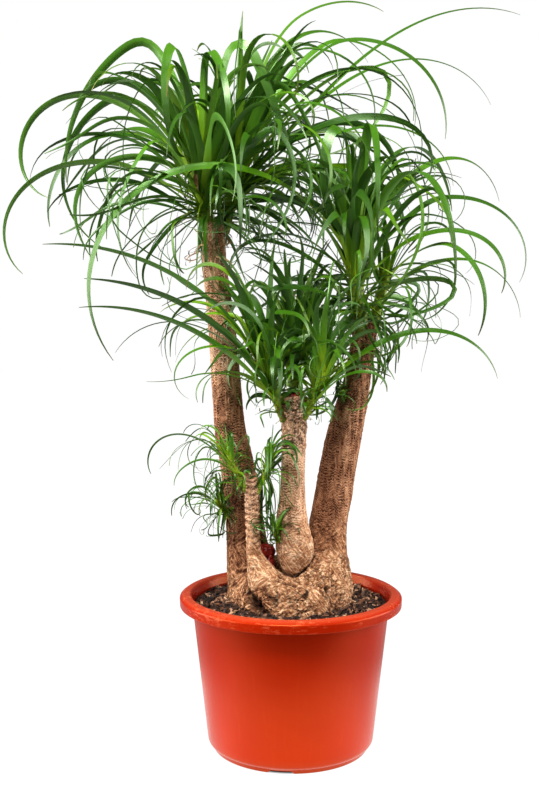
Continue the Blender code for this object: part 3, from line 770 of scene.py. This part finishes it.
def caudex():
    """Rays from the heart of the base stop where they meet its surface, found by stepping in
    from outside by the distance left. Those that run up inside a trunk end at the core reach.
    The bark's height is then added along each ray."""
    core_reach, least_reach, steps, caution = 0.15, 0.01, 50, 0.7
    polar = np.radians(np.concatenate([np.linspace(0, 94, 190), np.linspace(98, 180, 12)]))
    ray = revolved(np.sin(polar), np.cos(polar), 400)
    reach = np.full(ray.shape[:-1], core_reach)
    for _ in range(steps):
        reach -= caution * outside_caudex(CAUDEX_HEART + ray * reach[..., None])
        reach = np.clip(reach, least_reach, core_reach)
    points = CAUDEX_HEART + ray * reach[..., None]
    bent = points + 0.006 * wander(points, 0.012, 960)
    height, crack_and_shade, tone = bark_relief(bent, (0.018, 0.018, 0.012), 0.0026, 0.002, 900)
    edge, shade = fibrous(points + 0.4 * (bent - points), 950)
    opened = 0.35 + 0.65 * smooth(lumps(points, 0.016, 985), -0.35, 0.35)
    split = (1 - smooth(edge, 0.02, 0.3)) * opened
    height += 0.0016 * shade - 0.0021 * split
    crack_and_shade = cracked(crack_and_shade, 0.75 * split ** 1.5)
    # Painted shade: where each stem meets the base the bark is sunk and darkened, most of all round the
    # middle stub.
    for name in STEMS:
        gap = outside_stem(points, name)
        sharp = 1.0 if name == "stub_middle" else 0.45
        height -= 0.003 * sharp * bump(gap, 0.004)
        crack_and_shade = cracked(crack_and_shade, sharp * bump(gap, 0.0032))
    # Painted shade: each cleft and hole in the front is sunk and darkened, up to nearly black.
    for start, end, half_width, depth in CLEFTS:
        start, run = np.array(start), np.subtract(end, start)
        share = np.clip(((points - start) @ run) / (run @ run), 0, 1)
        near = bump(np.linalg.norm(points - start - share[..., None] * run, axis=-1), half_width)
        height -= depth * near
        crack_and_shade = cracked(crack_and_shade, 1.3 * near)
    high = smooth(points[..., 2], 0.262, 0.305)
    points = points + (ray * (1 - 0.7 * high)[..., None]) * height[..., None]
    leftward = smooth(-points[..., 0], 0.012, 0.042)
    # Painted shade: the tone is darker over the top of the base, which faces the light from above. It is also
    # darker towards the left.
    tone = 1.4 * (0.35 * tone + 0.65 * shade) + 0.28 - 0.35 * high - 0.5 * leftward
    marks = {"crack_and_shade": crack_and_shade * (1 - 0.5 * high), "tone": np.clip(tone, 0, 1.3), "cut": 0 * high,
             "rooty": 1 - 0.4 * high}
    piece("caudex_wood", points, BARK, marks=marks, replaces="caudex")


caudex()

# ------------------------ wax on the cuts
# Sealing wax brushed on two pruning cuts: a thick glossy red blob, with a run down the base.


def wax_finish():
    """Dark red wax, glossy where it ran and dull where it is rubbed."""
    wax = Finish("wax", Specular_IOR_Level=0.6)
    cloud = wax.noise(210, 4)
    colour = wax.ramp(cloud, (0.35, (0.13, 0.006, 0.004)), (0.55, (0.36, 0.016, 0.008)),
                      (0.72, (0.55, 0.075, 0.04)))
    gloss = wax.span(cloud, 0.4, 0.7, 0.22, 0.5)
    return wax.finished(cloud, 0.0008, 0.6, Base_Color=colour, Roughness=gloss)


def wax_blob(name, centre, size, salt, replaces=None):
    """An ellipsoid with lumps: radius 1 + 0.22 lumps, stretched to its half sizes."""
    polar = np.linspace(0, np.pi, 40)
    ball = revolved(np.sin(polar), np.cos(polar), 64)
    swollen = 1 + 0.22 * lumps(ball, 0.7, salt) + 0.1 * lumps(ball, 0.3, salt + 1)
    piece(name, ball * swollen[..., None] * size + centre, WAX, replaces=replaces)


WAX = wax_finish()
wax_blob("wax_cap_middle", (0.0045, -0.031, 0.512), (0.012, 0.012, 0.0062), 40, "wax_seal_middle")
wax_blob("wax_cap_back", (-0.035, -0.018, 0.287), (0.0125, 0.012, 0.0115), 50, "wax_seal_back")
wax_blob("wax_run", (-0.0285, -0.029, 0.269), (0.0056, 0.005, 0.015), 60)

# ------------------------ leafy shoots
# Short soft green stems that break out at the trunk tops, round the cuts and low on the bark.
# The bases of their leaves clasp them and hide them almost wholly.

# Foot and tip from the pot's axis, foot radius, tip radius.
SHOOTS = {
    "crown_left": ((-0.118, 0.016, 0.742), (-0.126, 0.005, 0.825), 0.0105, 0.008),
    "crown_top": ((-0.098, 0.034, 0.742), (-0.07, 0.038, 0.85), 0.0095, 0.008),
    "crown_right": ((0.102, 0.014, 0.596), (0.084, 0.002, 0.73), 0.0105, 0.0085),
    "crown_side": ((0.116, 0.03, 0.596), (0.14, 0.034, 0.69), 0.008, 0.006),
    "shoot_left": ((-0.01, -0.036, 0.476), (-0.04, -0.046, 0.556), 0.0054, 0.0054),
    "shoot_right": ((0.016, -0.036, 0.478), (0.046, -0.042, 0.544), 0.0054, 0.0054),
    "shoot_back": ((0.005, -0.015, 0.48), (0.008, 0.012, 0.572), 0.007, 0.0055),
    "sprout_left": ((-0.062, -0.047, 0.379), (-0.087, -0.052, 0.425), 0.004, 0.0035),
    "sprout_right": ((-0.049, -0.045, 0.376), (-0.031, -0.042, 0.416), 0.0045, 0.0035),
    "tuft_trunk": ((-0.088, 0.006, 0.333), (-0.105, -0.01, 0.356), 0.0038, 0.003),
    "tuft_cleft": ((-0.016, -0.038, 0.3), (-0.024, -0.052, 0.326), 0.0038, 0.003),
}


def shoot_finish():
    """Smooth yellow-green young stem, browner where old leaf bases dried on it."""
    stem = Finish("shoot_green", Roughness=0.5)
    cloud = stem.noise(90, 4, stretch=(1, 1, 2.0))
    colour = stem.ramp(cloud, (0.3, (0.16, 0.13, 0.02)), (0.5, (0.26, 0.36, 0.015)),
                       (0.75, (0.42, 0.54, 0.03)))
    return stem.finished(cloud, 0.0006, 0.5, Base_Color=colour)


def shoot(name):
    """A short tapering stem with sheaths that overlap in a spiral: each stands a little proud of
    the stem at its lower edge and thins out to its upper one."""
    sheath_length, sheath_depth, rows, columns = 0.009, 0.0009, 48, 36
    foot, tip, foot_radius, tip_radius = SHOOTS[name]
    points, out, share = stem_grid([(*foot, foot_radius), (*tip, tip_radius)], rows, columns, ROUND_END)
    height = np.linspace(0, 1, len(share))[:, None] * np.linalg.norm(np.subtract(tip, foot)) / sheath_length
    sheath = (height + np.arange(columns) / columns) % 1.0
    points = points + out * (sheath_depth * (1 - sheath) * (share == 1.0)[:, None])[..., None]
    piece(f"{name}_stem", points, SHOOT_GREEN, replaces=name)


SHOOT_GREEN = shoot_finish()
for name in SHOOTS:
    shoot(name)

# ------------------------ leading leaves
# Leathery straps, up to two hands long and a thumb wide: pale where they clasp the shoot, folded
# to a shallow channel, arching over under their own weight and drawn out to a hair at the tip.

# Place up the shoot 0..1, compass direction (0 is +X, 90 is +Y), rise at the base, total bend,
# lateness of the bend, length, width, roll about its own line, swing of the compass direction
# from base to tip, and on some a sharp fold and its place along the leaf.
LEADING_FIELDS = "up azimuth rise bend late length width roll swing fold at"
LEADING = {
    "crown_left": [
        (1.0, 190, 84, 100, 1.4, 0.44, 0.015, 50, -30, 80, 0.45),
        (0.6, 248, 80, 200, 2.0, 0.42, 0.015, -40, 10, 80, 0.5),
        (1.0, 290, 88, 150, 3.0, 0.38, 0.013, 20, 0, 100, 0.42),
        (0.7, -35, 84, 20, 1.0, 0.44, 0.018, 60, 40, 140, 0.45),
        (0.7, 178, 55, 220, 2.0, 0.44, 0.013, 40, -20),
        (0.8, 145, 65, 180, 1.4, 0.46, 0.013, 40, 60, 40, 0.4),
        (0.2, 184, 30, 160, 2.2, 0.4, 0.011, 40, 0, 10, 0.3),
        (0.4, 95, 70, 170, 1.5, 0.45, 0.014, 0, 0),
        (0.3, 135, 60, 170, 1.4, 0.44, 0.014, -30, 0),
    ],
    "crown_top": [
        (1.0, -10, 86, 110, 1.8, 0.34, 0.012, 40, -10, 10, 0.6),
        (0.9, 45, 80, 130, 1.8, 0.38, 0.011, 40, -10),
        (0.3, 0, 50, 70, 2.8, 0.5, 0.012, 30, 0),
        (0.7, -35, 62, 140, 1.8, 0.46, 0.012, 40, 20, 20, 0.5),
        (0.8, 50, 60, 150, 2.4, 0.5, 0.01, 40, -40, 20, 0.55),
        (0.5, 15, 48, 110, 2.5, 0.48, 0.009, 30, 0),
        (0.1, -15, 38, 125, 2.4, 0.38, 0.011, 30, 20),
        (0.4, 80, 70, 160, 1.5, 0.42, 0.014, 0, 0),
        (0.2, -50, 78, 60, 1.0, 0.38, 0.015, -50, 30, 100, 0.45),
    ],
    "crown_right": [
        (1.0, -110, 92, 150, 2.0, 0.4, 0.016, -40, -60, 130, 0.4),
        (0.8, -60, 84, 100, 2.0, 0.36, 0.015, -20, -40, 100, 0.5),
        (0.5, 5, 50, 150, 2.2, 0.36, 0.012, 40, 0, 20, 0.4),
        (0.9, 20, 55, 125, 2.0, 0.34, 0.011, 40, 20),
        (0.3, -10, 45, 150, 2.2, 0.28, 0.012, 40, -20, 10, 0.3),
        (0.8, 198, 58, 185, 1.2, 0.6, 0.014, -50, -10),
        (0.5, 95, 70, 165, 1.5, 0.48, 0.015, 0, 0),
        (0.4, -75, 55, 150, 1.5, 0.46, 0.015, 0, 0),
        (0.6, 55, 75, 150, 1.5, 0.44, 0.015, 0, 0),
    ],
    "crown_side": [
        (0.8, -30, 50, 150, 1.2, 0.26, 0.01, 30, -20, 20, 0.4),
        (0.5, 20, 35, 120, 1.6, 0.28, 0.01, 30, 0),
    ],
    "shoot_left": [
        (0.5, 184, 62, 60, 0.9, 0.3, 0.015, 40, 0),
        (0.9, 170, 68, 70, 0.8, 0.38, 0.013, 40, 0),
        (0.2, 195, 50, 55, 1.2, 0.3, 0.011, 40, 0),
        (0.8, 235, 70, 40, 2.0, 0.2, 0.011, 20, 0),
    ],
    "shoot_right": [
        (0.5, -5, 45, 120, 1.8, 0.3, 0.012, 40, 10),
    ],
    "shoot_back": [
        (0.6, 80, 68, 110, 1.5, 0.28, 0.012, 0, -20),
    ],
    "sprout_left": [
        (0.7, 183, 50, 170, 1.8, 0.17, 0.006, 30, -20),
    ],
    "sprout_right": [
        (0.5, -60, 66, 110, 1.4, 0.12, 0.005, 30, 0),
    ],
}


def leaf_finish():
    """Leaf green: yellow-green at the clasping base, deep green along the strap, dry at the very
    tip, with fine parallel veins and a pale keel. The underside is painted paler as a painted sheen."""
    leaf = Finish("leaf_green", Specular_IOR_Level=1.0, Specular_Tint=(0.8, 1.0, 0.68))
    across, along = (leaf.node("SeparateXYZ", k, {0: leaf.node("UVMap", 0, {}, uv_map="surface")})
                     for k in range(2))
    tone = leaf.mark("tone")
    colour = leaf.ramp(along, (0.0, (0.42, 0.52, 0.012)), (0.11, (0.25, 0.42, 0.006)),
                       (0.29, (0.095, 0.25, 0.002)), (0.55, (0.043, 0.145, 0.002)),
                       (0.8, (0.028, 0.09, 0.002)), (0.94, (0.02, 0.044, 0.003)),
                       (1.0, (0.055, 0.036, 0.012)))
    deep = leaf.mix(1.0, colour, (0.16, 0.3, 0.4), "MULTIPLY")
    fresh = leaf.mix(1.0, colour, (4.2, 2.4, 1.5), "MULTIPLY")
    fresher = leaf.times(leaf.span(tone, 0.55, 1.0), leaf.span(along, 0.04, 0.32))
    colour = leaf.mix(fresher, leaf.mix(leaf.span(tone, 0.05, 0.45), deep, colour), fresh)
    # Painted sheen: the underside is painted a pale glaucous green, strongest on lighter leaves.
    painted_sheen = leaf.times(leaf.span(along, 0.05, 0.35), leaf.span(tone, 0.0, 0.8, 0.1, 0.35))
    under = leaf.math("GREATER_THAN", across, 1.0)
    colour = leaf.mix(leaf.times(under, painted_sheen), colour, (0.16, 0.36, 0.07))
    stripes = {0: leaf.times(across, 16), 1: leaf.times(along, 3), 2: tone}
    vein = leaf.noise(2, where=leaf.node("CombineXYZ", 0, stripes))
    colour = leaf.mix(leaf.span(vein, 0.4, 0.65, 0.0, 0.35), colour, (0.13, 0.33, 0.008))
    gloss = leaf.span(vein, 0.3, 0.7, 0.28, 0.44)
    return leaf.finished(vein, 0.0004, 0.35, Base_Color=colour, Roughness=gloss)


def measures(rows, names):
    """The leaves' own numbers of those names, one leaf to a row, and 0 where they have none."""
    return (np.asarray(rows.get(name, 0 * rows["length"]), float)[:, None] for name in names.split())


def leaf_lines(foot, rows, segments):
    """Middle lines of leaves as arrays (leaf, step, 3). Slope falls from the rise by
    bend * s^late, by the fold in one short stretch, and by the curl near the tip; s runs from 0
    at the base to 1. Slope and compass direction also waver by a sine. The heading they give is
    added up over the length, in steps finer than the ones kept."""
    fine = 4
    azimuth, rise, bend, late, fold, at = measures(rows, "azimuth rise bend late fold at")
    length, swing, curl, twirl, wave, phase = measures(rows, "length swing curl twirl wave phase")

    def heading(s):
        tip = smooth(s, 0.62, 1.15)
        slope = (rise - bend * s ** late - fold * 0.5 * (1 + np.tanh((s - at) / 0.04)) - curl * tip
                 + wave * s * np.sin(9.5 * s + phase))
        turn = azimuth + swing * s + twirl * tip + 1.4 * wave * s * np.sin(7.0 * s + 2 * phase)
        slope, turn = np.radians(slope), np.radians(turn)
        return turned(np.cos(slope), turn, np.sin(slope)), turn

    middles = (np.arange(segments * fine) + 0.5) / (segments * fine)
    steps = heading(middles[None])[0] * length[..., None] / (segments * fine)
    line = foot[:, None] + np.concatenate([0 * steps[:, :1], np.cumsum(steps, axis=1)], axis=1)
    s = np.linspace(0, 1, segments + 1)[None]
    along, turn = heading(s)
    across = np.stack([-np.sin(turn), np.cos(turn), 0 * turn], axis=-1)
    return s, line[:, ::fine], along, across


def leaf_feet(shoot, rows, stand_off, bare):
    """Where leaves leave their shoot: up it from the bare share, on the skin on the leaf's side."""
    foot, tip, foot_radius, tip_radius = (np.array(measure) for measure in SHOOTS[shoot])
    place = (bare + (1 - bare) * rows["up"])[:, None]
    axis = unit(tip - foot)
    turn, slope = np.radians(rows["azimuth"]), np.radians(rows["rise"])
    out = turned(1.0, turn, 0.0)
    out = unit(out - (out @ axis)[:, None] * axis)
    first = turned(np.cos(slope), turn, np.sin(slope))
    inward = 0.0006 * np.abs(first @ axis)[:, None]
    radius = foot_radius + (tip_radius - foot_radius) * place
    return foot + (tip - foot) * place + out * (radius + stand_off + inward)


def straps(name, foot, rows, segments, half, clasp, thickness, material=None, slot=None, replaces=None):
    """Leaves swept along their middle lines. Each section is a closed strip of 2 * half points:
    half + 1 over the top from edge to edge, and half - 1 back beneath. Its edges stand up from
    the keel as a channel, and the strap narrows as (1 - s^2.2)^0.9 to a hair."""
    s, line, along, across = leaf_lines(foot, rows, segments)
    width, roll, twist, tone, channel = measures(rows, "width roll twist tone channel")
    normal = np.cross(along, across)
    lean = np.radians(roll * np.clip(s / 0.35, 0, 1) + twist * s ** 1.5)[..., None]
    side = across * np.cos(lean) + normal * np.sin(lean)
    face = normal * np.cos(lean) - across * np.sin(lean)
    hair = 0.001
    filling = 0.6 + 0.4 * np.clip(s / 0.18, 0, 1) + clasp * np.exp(-s / 0.035)
    taper = (1 - s ** 2.2) ** 0.9
    breadth = (width * filling * taper + hair) / 2
    ring = 2 * half
    around = np.arange(ring)
    reach = 1 - 2 * np.where(around <= half, around, ring - around) / half
    depth = channel * (0.45 + 0.9 * np.exp(-s / 0.15))
    lift = depth[..., None] * breadth[..., None] * np.abs(reach) ** 1.4
    body = thickness * np.clip(breadth / 0.002, 0.35, 1)[..., None] * (1 - reach ** 2) ** 0.5
    level = lift + np.where(around > half, -0.5, 0.5) * body
    points = (line[:, :, None] + side[:, :, None] * (breadth[..., None] * reach)[..., None]
              + face[:, :, None] * level[..., None])
    caps = np.array([(0, 1, 2, ring - 1)] + [(j, j + 1, ring - j, ring - j + 1) for j in range(2, half)])
    one = np.vstack([grid_faces(segments + 1, ring), caps[:, ::-1], caps + segments * ring])
    faces = (one + (np.arange(len(line)) * (segments + 1) * ring)[:, None, None]).reshape(-1, 4)
    u, v, tone = (np.broadcast_to(values, points.shape[:3])
                  for values in (around / half, s[..., None], tone[..., None]))
    u = u.reshape(-1)[faces]
    seam = (u.max(1) - u.min(1) > 1.0)[:, None] & (u == 0)
    uv = np.stack([np.where(seam, 2.0, u), v.reshape(-1)[faces]], axis=-1)
    piece(name, points, material or LEAF_GREEN, faces, uv, {"tone": tone}, 65, replaces)


def leading_leaves():
    """One piece for each leading leaf."""
    rng = np.random.default_rng(21)
    for shoot, leaves in LEADING.items():
        for number, leaf in enumerate(leaves, 1):
            rows = {field: np.array([value], float) for field, value in zip(LEADING_FIELDS.split(), leaf)}
            rows["tone"] = rng.uniform(0.12, 0.62, 1)
            rows["channel"] = rng.uniform(0.25, 0.55, 1)
            straps(f"blade_{shoot}_{number}", leaf_feet(shoot, rows, 0.0003, 0.35), rows, 44, 4, 0.35,
                   0.0011, replaces=f"leaf_{shoot}_{number}")


LEAF_GREEN = leaf_finish()
leading_leaves()

# ------------------------ the rest of the leaves
# Each shoot carries many more leaves in a close spiral: upright and short in the middle, longer
# and lower outside, all arching over at their own length.

# Kinds of leaf: place up the shoot, rise, bend, lateness of the bend, length and width as shares
# of the crown's, each from - to, then how freely it rolls and how far its tip curls.
KINDS = {
    "heart": ((0.55, 1.0), (64, 90), (30, 170), (1.8, 3.4), (0.45, 0.8), (0.6, 1.0), 35, 20),
    "arching": ((0.25, 0.95), (36, 74), (100, 190), (1.3, 2.3), (0.65, 1.0), (0.32, 0.85), 45, 35),
    "spreading": ((0.05, 0.6), (5, 42), (50, 130), (1.0, 1.8), (0.45, 0.85), (0.22, 0.6), 45, 50),
    "skirt": ((0.0, 0.4), (-45, 12), (10, 80), (0.8, 1.5), (0.18, 0.55), (0.15, 0.5), 60, 60),
    "thread": ((0.1, 0.9), (-10, 80), (60, 230), (0.8, 1.8), (0.45, 0.9), (0.03, 0.09), 60, 150),
    "hanging": ((0.0, 0.7), (-75, 10), (30, 110), (0.5, 1.0), (0.4, 0.95), (0.35, 0.9), 50, 40),
}
# Each crown's longest leaf and widest, the way it leans and how strongly, how far its dome
# reaches from the shoot's tip (left, right, up, down, depth), the bare share of the shoot, and
# how many leaves of each kind.
CROWNS = {
    "crown_left": (0.44, 0.0155, 185, 0.28, (0.25, 0.2, 0.16, 0.19, 0.24), 0.08, (32, 32, 22, 18, 28, 0)),
    "crown_top": (0.46, 0.015, 5, 0.4, (0.1, 0.34, 0.2, 0.13, 0.24), 0.08, (32, 42, 22, 14, 30, 0)),
    "crown_right": (0.38, 0.016, 0, 0.08, (0.19, 0.2, 0.14, 0.2, 0.23), 0.08, (34, 25, 21, 15, 26, 0)),
    "crown_side": (0.26, 0.0085, -10, 0.4, (0.08, 0.14, 0.085, 0.17, 0.14), 0.08, (8, 8, 10, 8, 12, 0)),
    "shoot_left": (0.32, 0.0128, 170, 0.45, (0.21, 0.08, 0.18, 0.06, 0.16), 0.05, (28, 26, 12, 0, 12, 0)),
    "shoot_right": (0.28, 0.0115, 10, 0.45, (0.07, 0.1, 0.16, 0.07, 0.13), 0.05, (22, 18, 9, 0, 10, 3)),
    "shoot_back": (0.34, 0.0128, 80, 0.12, (0.12, 0.11, 0.205, 0.07, 0.15), 0.25, (30, 22, 10, 0, 12, 0)),
    "sprout_left": (0.18, 0.0038, 170, 0.6, (0.115, 0.035, 0.055, 0.055, 0.07), 0.22, (10, 22, 9, 0, 12, 4)),
    "sprout_right": (0.15, 0.0042, -10, 0.45, (0.02, 0.05, 0.065, 0.115, 0.05), 0.22, (12, 18, 8, 0, 10, 14)),
    "tuft_trunk": (0.12, 0.0034, 185, 0.45, (0.07, 0.04, 0.055, 0.06, 0.05), 0.1, (8, 18, 12, 8, 16, 6)),
    "tuft_cleft": (0.11, 0.0036, 270, 0.1, (0.035, 0.04, 0.055, 0.02, 0.03), 0.15, (12, 18, 8, 0, 10, 0)),
}
GOLDEN_TURN = 137.508
ONE_RADIAN = 57.3
# The room that the leaves may fill, from the pot's axis.
room_low, room_high = (np.array(corner) - pot_axis + spare
                       for corner, spare in zip(cad_box, (-0.004, 0.004)))


def crown(number, name):
    """The rest of a shoot's leaves, drawn from a spiral with a golden turn between one leaf and
    the next. Leaves that would reach out of the crown's dome or the plant's room are drawn in
    shorter."""
    tries, shorter = 16, 0.9
    longest, widest, lean, gather, (left, right, high, low, depth), bare, counts = CROWNS[name]
    rng = np.random.default_rng(300 + number)
    grown = []
    for (kind, (*spans, loose, curly)), count in zip(KINDS.items(), counts):
        up, rise, bend, late, length, width = (rng.uniform(*span, count) for span in spans)
        azimuth = GOLDEN_TURN * np.arange(count) + rng.uniform(0, 360) + rng.uniform(-18, 18, count)
        azimuth = azimuth + gather * ONE_RADIAN * np.sin(np.radians(lean - azimuth))
        # Painted light and shade in the tone: leaves of the middle shoots, shaded by the crowns around them,
        # are painted lighter, and hanging leaves are painted darker for the shaded hollow they fill, besides
        # their deeper green. Leaves higher up the shoot are lighter.
        tone = 0.03 + 0.1 * name.startswith("shoot") - 0.3 * (kind == "hanging") + 0.5 * up
        grown.append({
            "up": up, "azimuth": azimuth, "rise": rise, "bend": bend, "late": late,
            "fold": np.where(rng.uniform(size=count) < 0.25, rng.uniform(40, 120, count), 0),
            "at": rng.uniform(0.35, 0.6, count), "length": longest * length, "width": widest * width,
            "roll": rng.normal(0, loose, count), "twist": rng.normal(0, 1.3 * loose, count),
            "swing": rng.normal(0, 28, count), "curl": rng.normal(0, curly, count),
            "twirl": rng.normal(0, curly, count), "wave": rng.uniform(3, 9, count) + 0.06 * curly,
            "phase": rng.uniform(0, 6.3, count), "channel": rng.uniform(0.25, 0.75, count),
            "tone": np.clip(tone + rng.normal(0, 0.28, count), 0, 1),
        })
    rows = {key: np.concatenate([part[key] for part in grown]) for key in grown[0]}
    foot = leaf_feet(name, rows, 0.0, bare)
    for _ in range(tries):
        line = leaf_lines(foot, rows, 24)[1]
        off = line - np.array(SHOOTS[name][1])
        dome = np.stack([np.where(off[..., 0] < 0, left, right), depth + 0 * off[..., 1],
                         np.where(off[..., 2] < 0, low, high)], axis=-1)
        outside = ((off / dome) ** 2).sum(-1) > 1
        outside |= ((line < room_low) | (line > room_high)).any(-1)
        rows["length"] = np.where(outside.any(1), rows["length"] * shorter, rows["length"])
    straps(f"foliage_{name}", foot, rows, 26, 2, 0.6, 0.0009)


for number, name in enumerate(CROWNS):
    crown(number, name)

# ------------------------ dead growth and bark flakes
# What old leaves leave behind: curly tan fibres where they tore off, one dried leaf standing in
# the left crown, fine young growth on the right trunk, and flakes of bark round a pruned top.


def dry_finish():
    """Papery tan of dead leaf, streaked along its length and darker at the ends."""
    dead = Finish("dry_fibre", Roughness=0.75, Specular_IOR_Level=0.2)
    cloud = dead.noise(260, 4, 0.65, (1, 1, 0.4))
    colour = dead.ramp(cloud, (0.3, (0.15, 0.07, 0.03)), (0.52, (0.36, 0.21, 0.1)),
                       (0.72, (0.6, 0.42, 0.24)))
    return dead.finished(cloud, 0.0005, 0.6, Base_Color=colour)


def strands(name, count, seed, middle, spread, azimuth, rise, length, width, curl, *look):
    """Fine strands from random feet around a point: each has its own direction, rise, length and
    width, drawn between two ends, and curls either way."""
    rng = np.random.default_rng(seed)
    foot = np.array(middle) + np.clip(rng.normal(0, 1, (count, 3)), -1.2, 1.2) * np.array(spread)
    rows = {
        "azimuth": rng.uniform(*azimuth, count), "rise": rng.uniform(*rise, count),
        "bend": rng.normal(40, 50, count), "late": rng.uniform(0.9, 1.6, count),
        "length": rng.uniform(*length, count), "width": rng.uniform(*width, count),
        "curl": rng.normal(0, curl, count), "twirl": rng.normal(0, 1.5 * curl, count),
        "wave": rng.uniform(8, 26, count), "phase": rng.uniform(0, 6.3, count),
        "swing": rng.normal(0, curl, count), "roll": rng.normal(0, 60, count),
        "tone": rng.uniform(0.1, 0.9, count), "channel": rng.uniform(0.1, 0.6, count),
    }
    rows["fold"] = rows["at"] = 0 * rows["length"] + 0.5
    straps(name, foot, rows, 16, 2, 0.2, 0.0007, *look)


DRY_FIBRE = dry_finish()
strands("fibres_trunk_left", 46, 1, (-0.113, 0.006, 0.728), (0.011, 0.006, 0.018), (170, 370), (-70, 30),
        (0.02, 0.06), (0.0006, 0.0018), 110, DRY_FIBRE, "bark")
strands("fibres_trunk_right", 34, 2, (0.108, 0.004, 0.59), (0.011, 0.006, 0.014), (170, 370), (-60, 40),
        (0.02, 0.05), (0.0006, 0.0016), 110, DRY_FIBRE, "bark")
strands("fibres_stub_middle", 22, 3, (0.004, -0.04, 0.478), (0.009, 0.004, 0.012), (180, 360), (-60, 60),
        (0.01, 0.026), (0.0006, 0.0018), 70, DRY_FIBRE, "bark")
strands("dried_leaf", 1, 12, (-0.1345, -0.0035, 0.795), (0, 0, 0), (255, 256), (82, 83),
        (0.095, 0.096), (0.0095, 0.0096), 4, DRY_FIBRE, "bark")
strands("young_growth", 90, 5, (0.0745, 0.004, 0.516), (0.004, 0.005, 0.009), (130, 300), (-40, 60),
        (0.006, 0.016), (0.0006, 0.0014), 90)
strands("bark_flakes", 12, 6, (-0.0125, -0.043, 0.489), (0.0022, 0.003, 0.006), (170, 260), (40, 110),
        (0.006, 0.013), (0.003, 0.0065), 30, BARK, "bark")

# ------------------------ floor, light and camera
# A plain pale floor in white surroundings, two large soft boxes at the sides and one above the
# front, and a portrait view from above half the plant's height.


def seen_or_lit(finish, seen, lit):
    """A number that is the first for what the camera sees directly and the second for what lights
    the plant, so that the surroundings stay plain white while the plant keeps its shading."""
    return finish.span(finish.node("LightPath", "Is Camera Ray", {}), 0.0, 1.0, lit, seen)


def stage():
    """A round pale floor as rings of points, plain white to look at. As a light it is bright like
    a table top that ends a hand's length in front of the pot, and it glows nowhere under it."""
    floor = Finish("pale_floor", Roughness=0.9, Specular_IOR_Level=0.1, Base_Color=(0.04, 0.04, 0.04),
                   Emission_Color=(1.0, 1.0, 1.0))
    away = floor.node("VectorMath", "Value", {0: floor.place(), 1: pot_axis}, operation="DISTANCE")
    forward = floor.axis(1)
    table = floor.times(floor.span(forward, pot_axis[1] - 0.37, pot_axis[1] - 0.3, 0.05, 1.0),
                        floor.span(forward, pot_axis[1] - 0.16, pot_axis[1], 1.0, 0.55))
    glow = floor.times(table, floor.span(away, 0.28, 0.42, 2.0, 0.8))
    under_pot = floor.span(away, 0.106, 0.113)
    floor.set(Emission_Strength=floor.times(seen_or_lit(floor, 1.0, glow), under_pot))
    radius = np.array([0.0, 0.5, 1.0, 2.0, 4.0, 9.0])
    points = revolved(radius, 0 * radius, 64)
    mesh = bpy.data.meshes.new("floor")
    mesh.from_pydata(points.reshape(-1, 3).tolist(), [], grid_faces(*points.shape[:2]).tolist())
    mesh.materials.append(floor.holder)
    placed("floor", mesh)


def soft_box(name, place, target, width, height, watts):
    """A rectangular soft light that faces its target."""
    lamp = bpy.data.lights.new(name, "AREA")
    lamp.shape = "RECTANGLE"
    lamp.size, lamp.size_y = width, height
    lamp.energy = watts
    made = placed(name, lamp)
    made.location = place
    made.rotation_euler = (Vector(target) - Vector(place)).to_track_quat("-Z", "Y").to_euler()


def camera():
    """A portrait view from above half the plant's height, looking slightly down."""
    look_down = 4.6
    lens = bpy.data.cameras.new("portrait")
    lens.sensor_fit = "VERTICAL"
    lens.sensor_height = 36.0
    lens.lens = 51.5
    made = placed("portrait", lens)
    made.location = pot_axis + (-0.0306, -1.6, 0.64)
    made.rotation_euler = (np.radians(90 - look_down), 0.0, 0.0)
    bpy.context.scene.camera = made


stage()
soft_box("soft_left", (-2.1, -0.2, 1.1), (0.0, 0.0, 0.5), 2.4, 2.4, 98)
soft_box("soft_right", (2.1, -0.25, 0.8), (0.0, 0.0, 0.3), 2.5, 2.2, 80)
soft_box("soft_top", (-0.2, -1.25, 2.5), (0.0, 0.0, 0.6), 0.9, 0.8, 86)
studio = Finish("studio", "worlds", "Background", Color=(1.0, 1.0, 1.0))
studio.set(Strength=seen_or_lit(studio, 1.0, 0.14))
bpy.context.scene.world = studio.holder
bpy.context.scene.view_settings.view_transform = "Standard"
bpy.context.scene.view_settings.gamma = 0.87
camera()
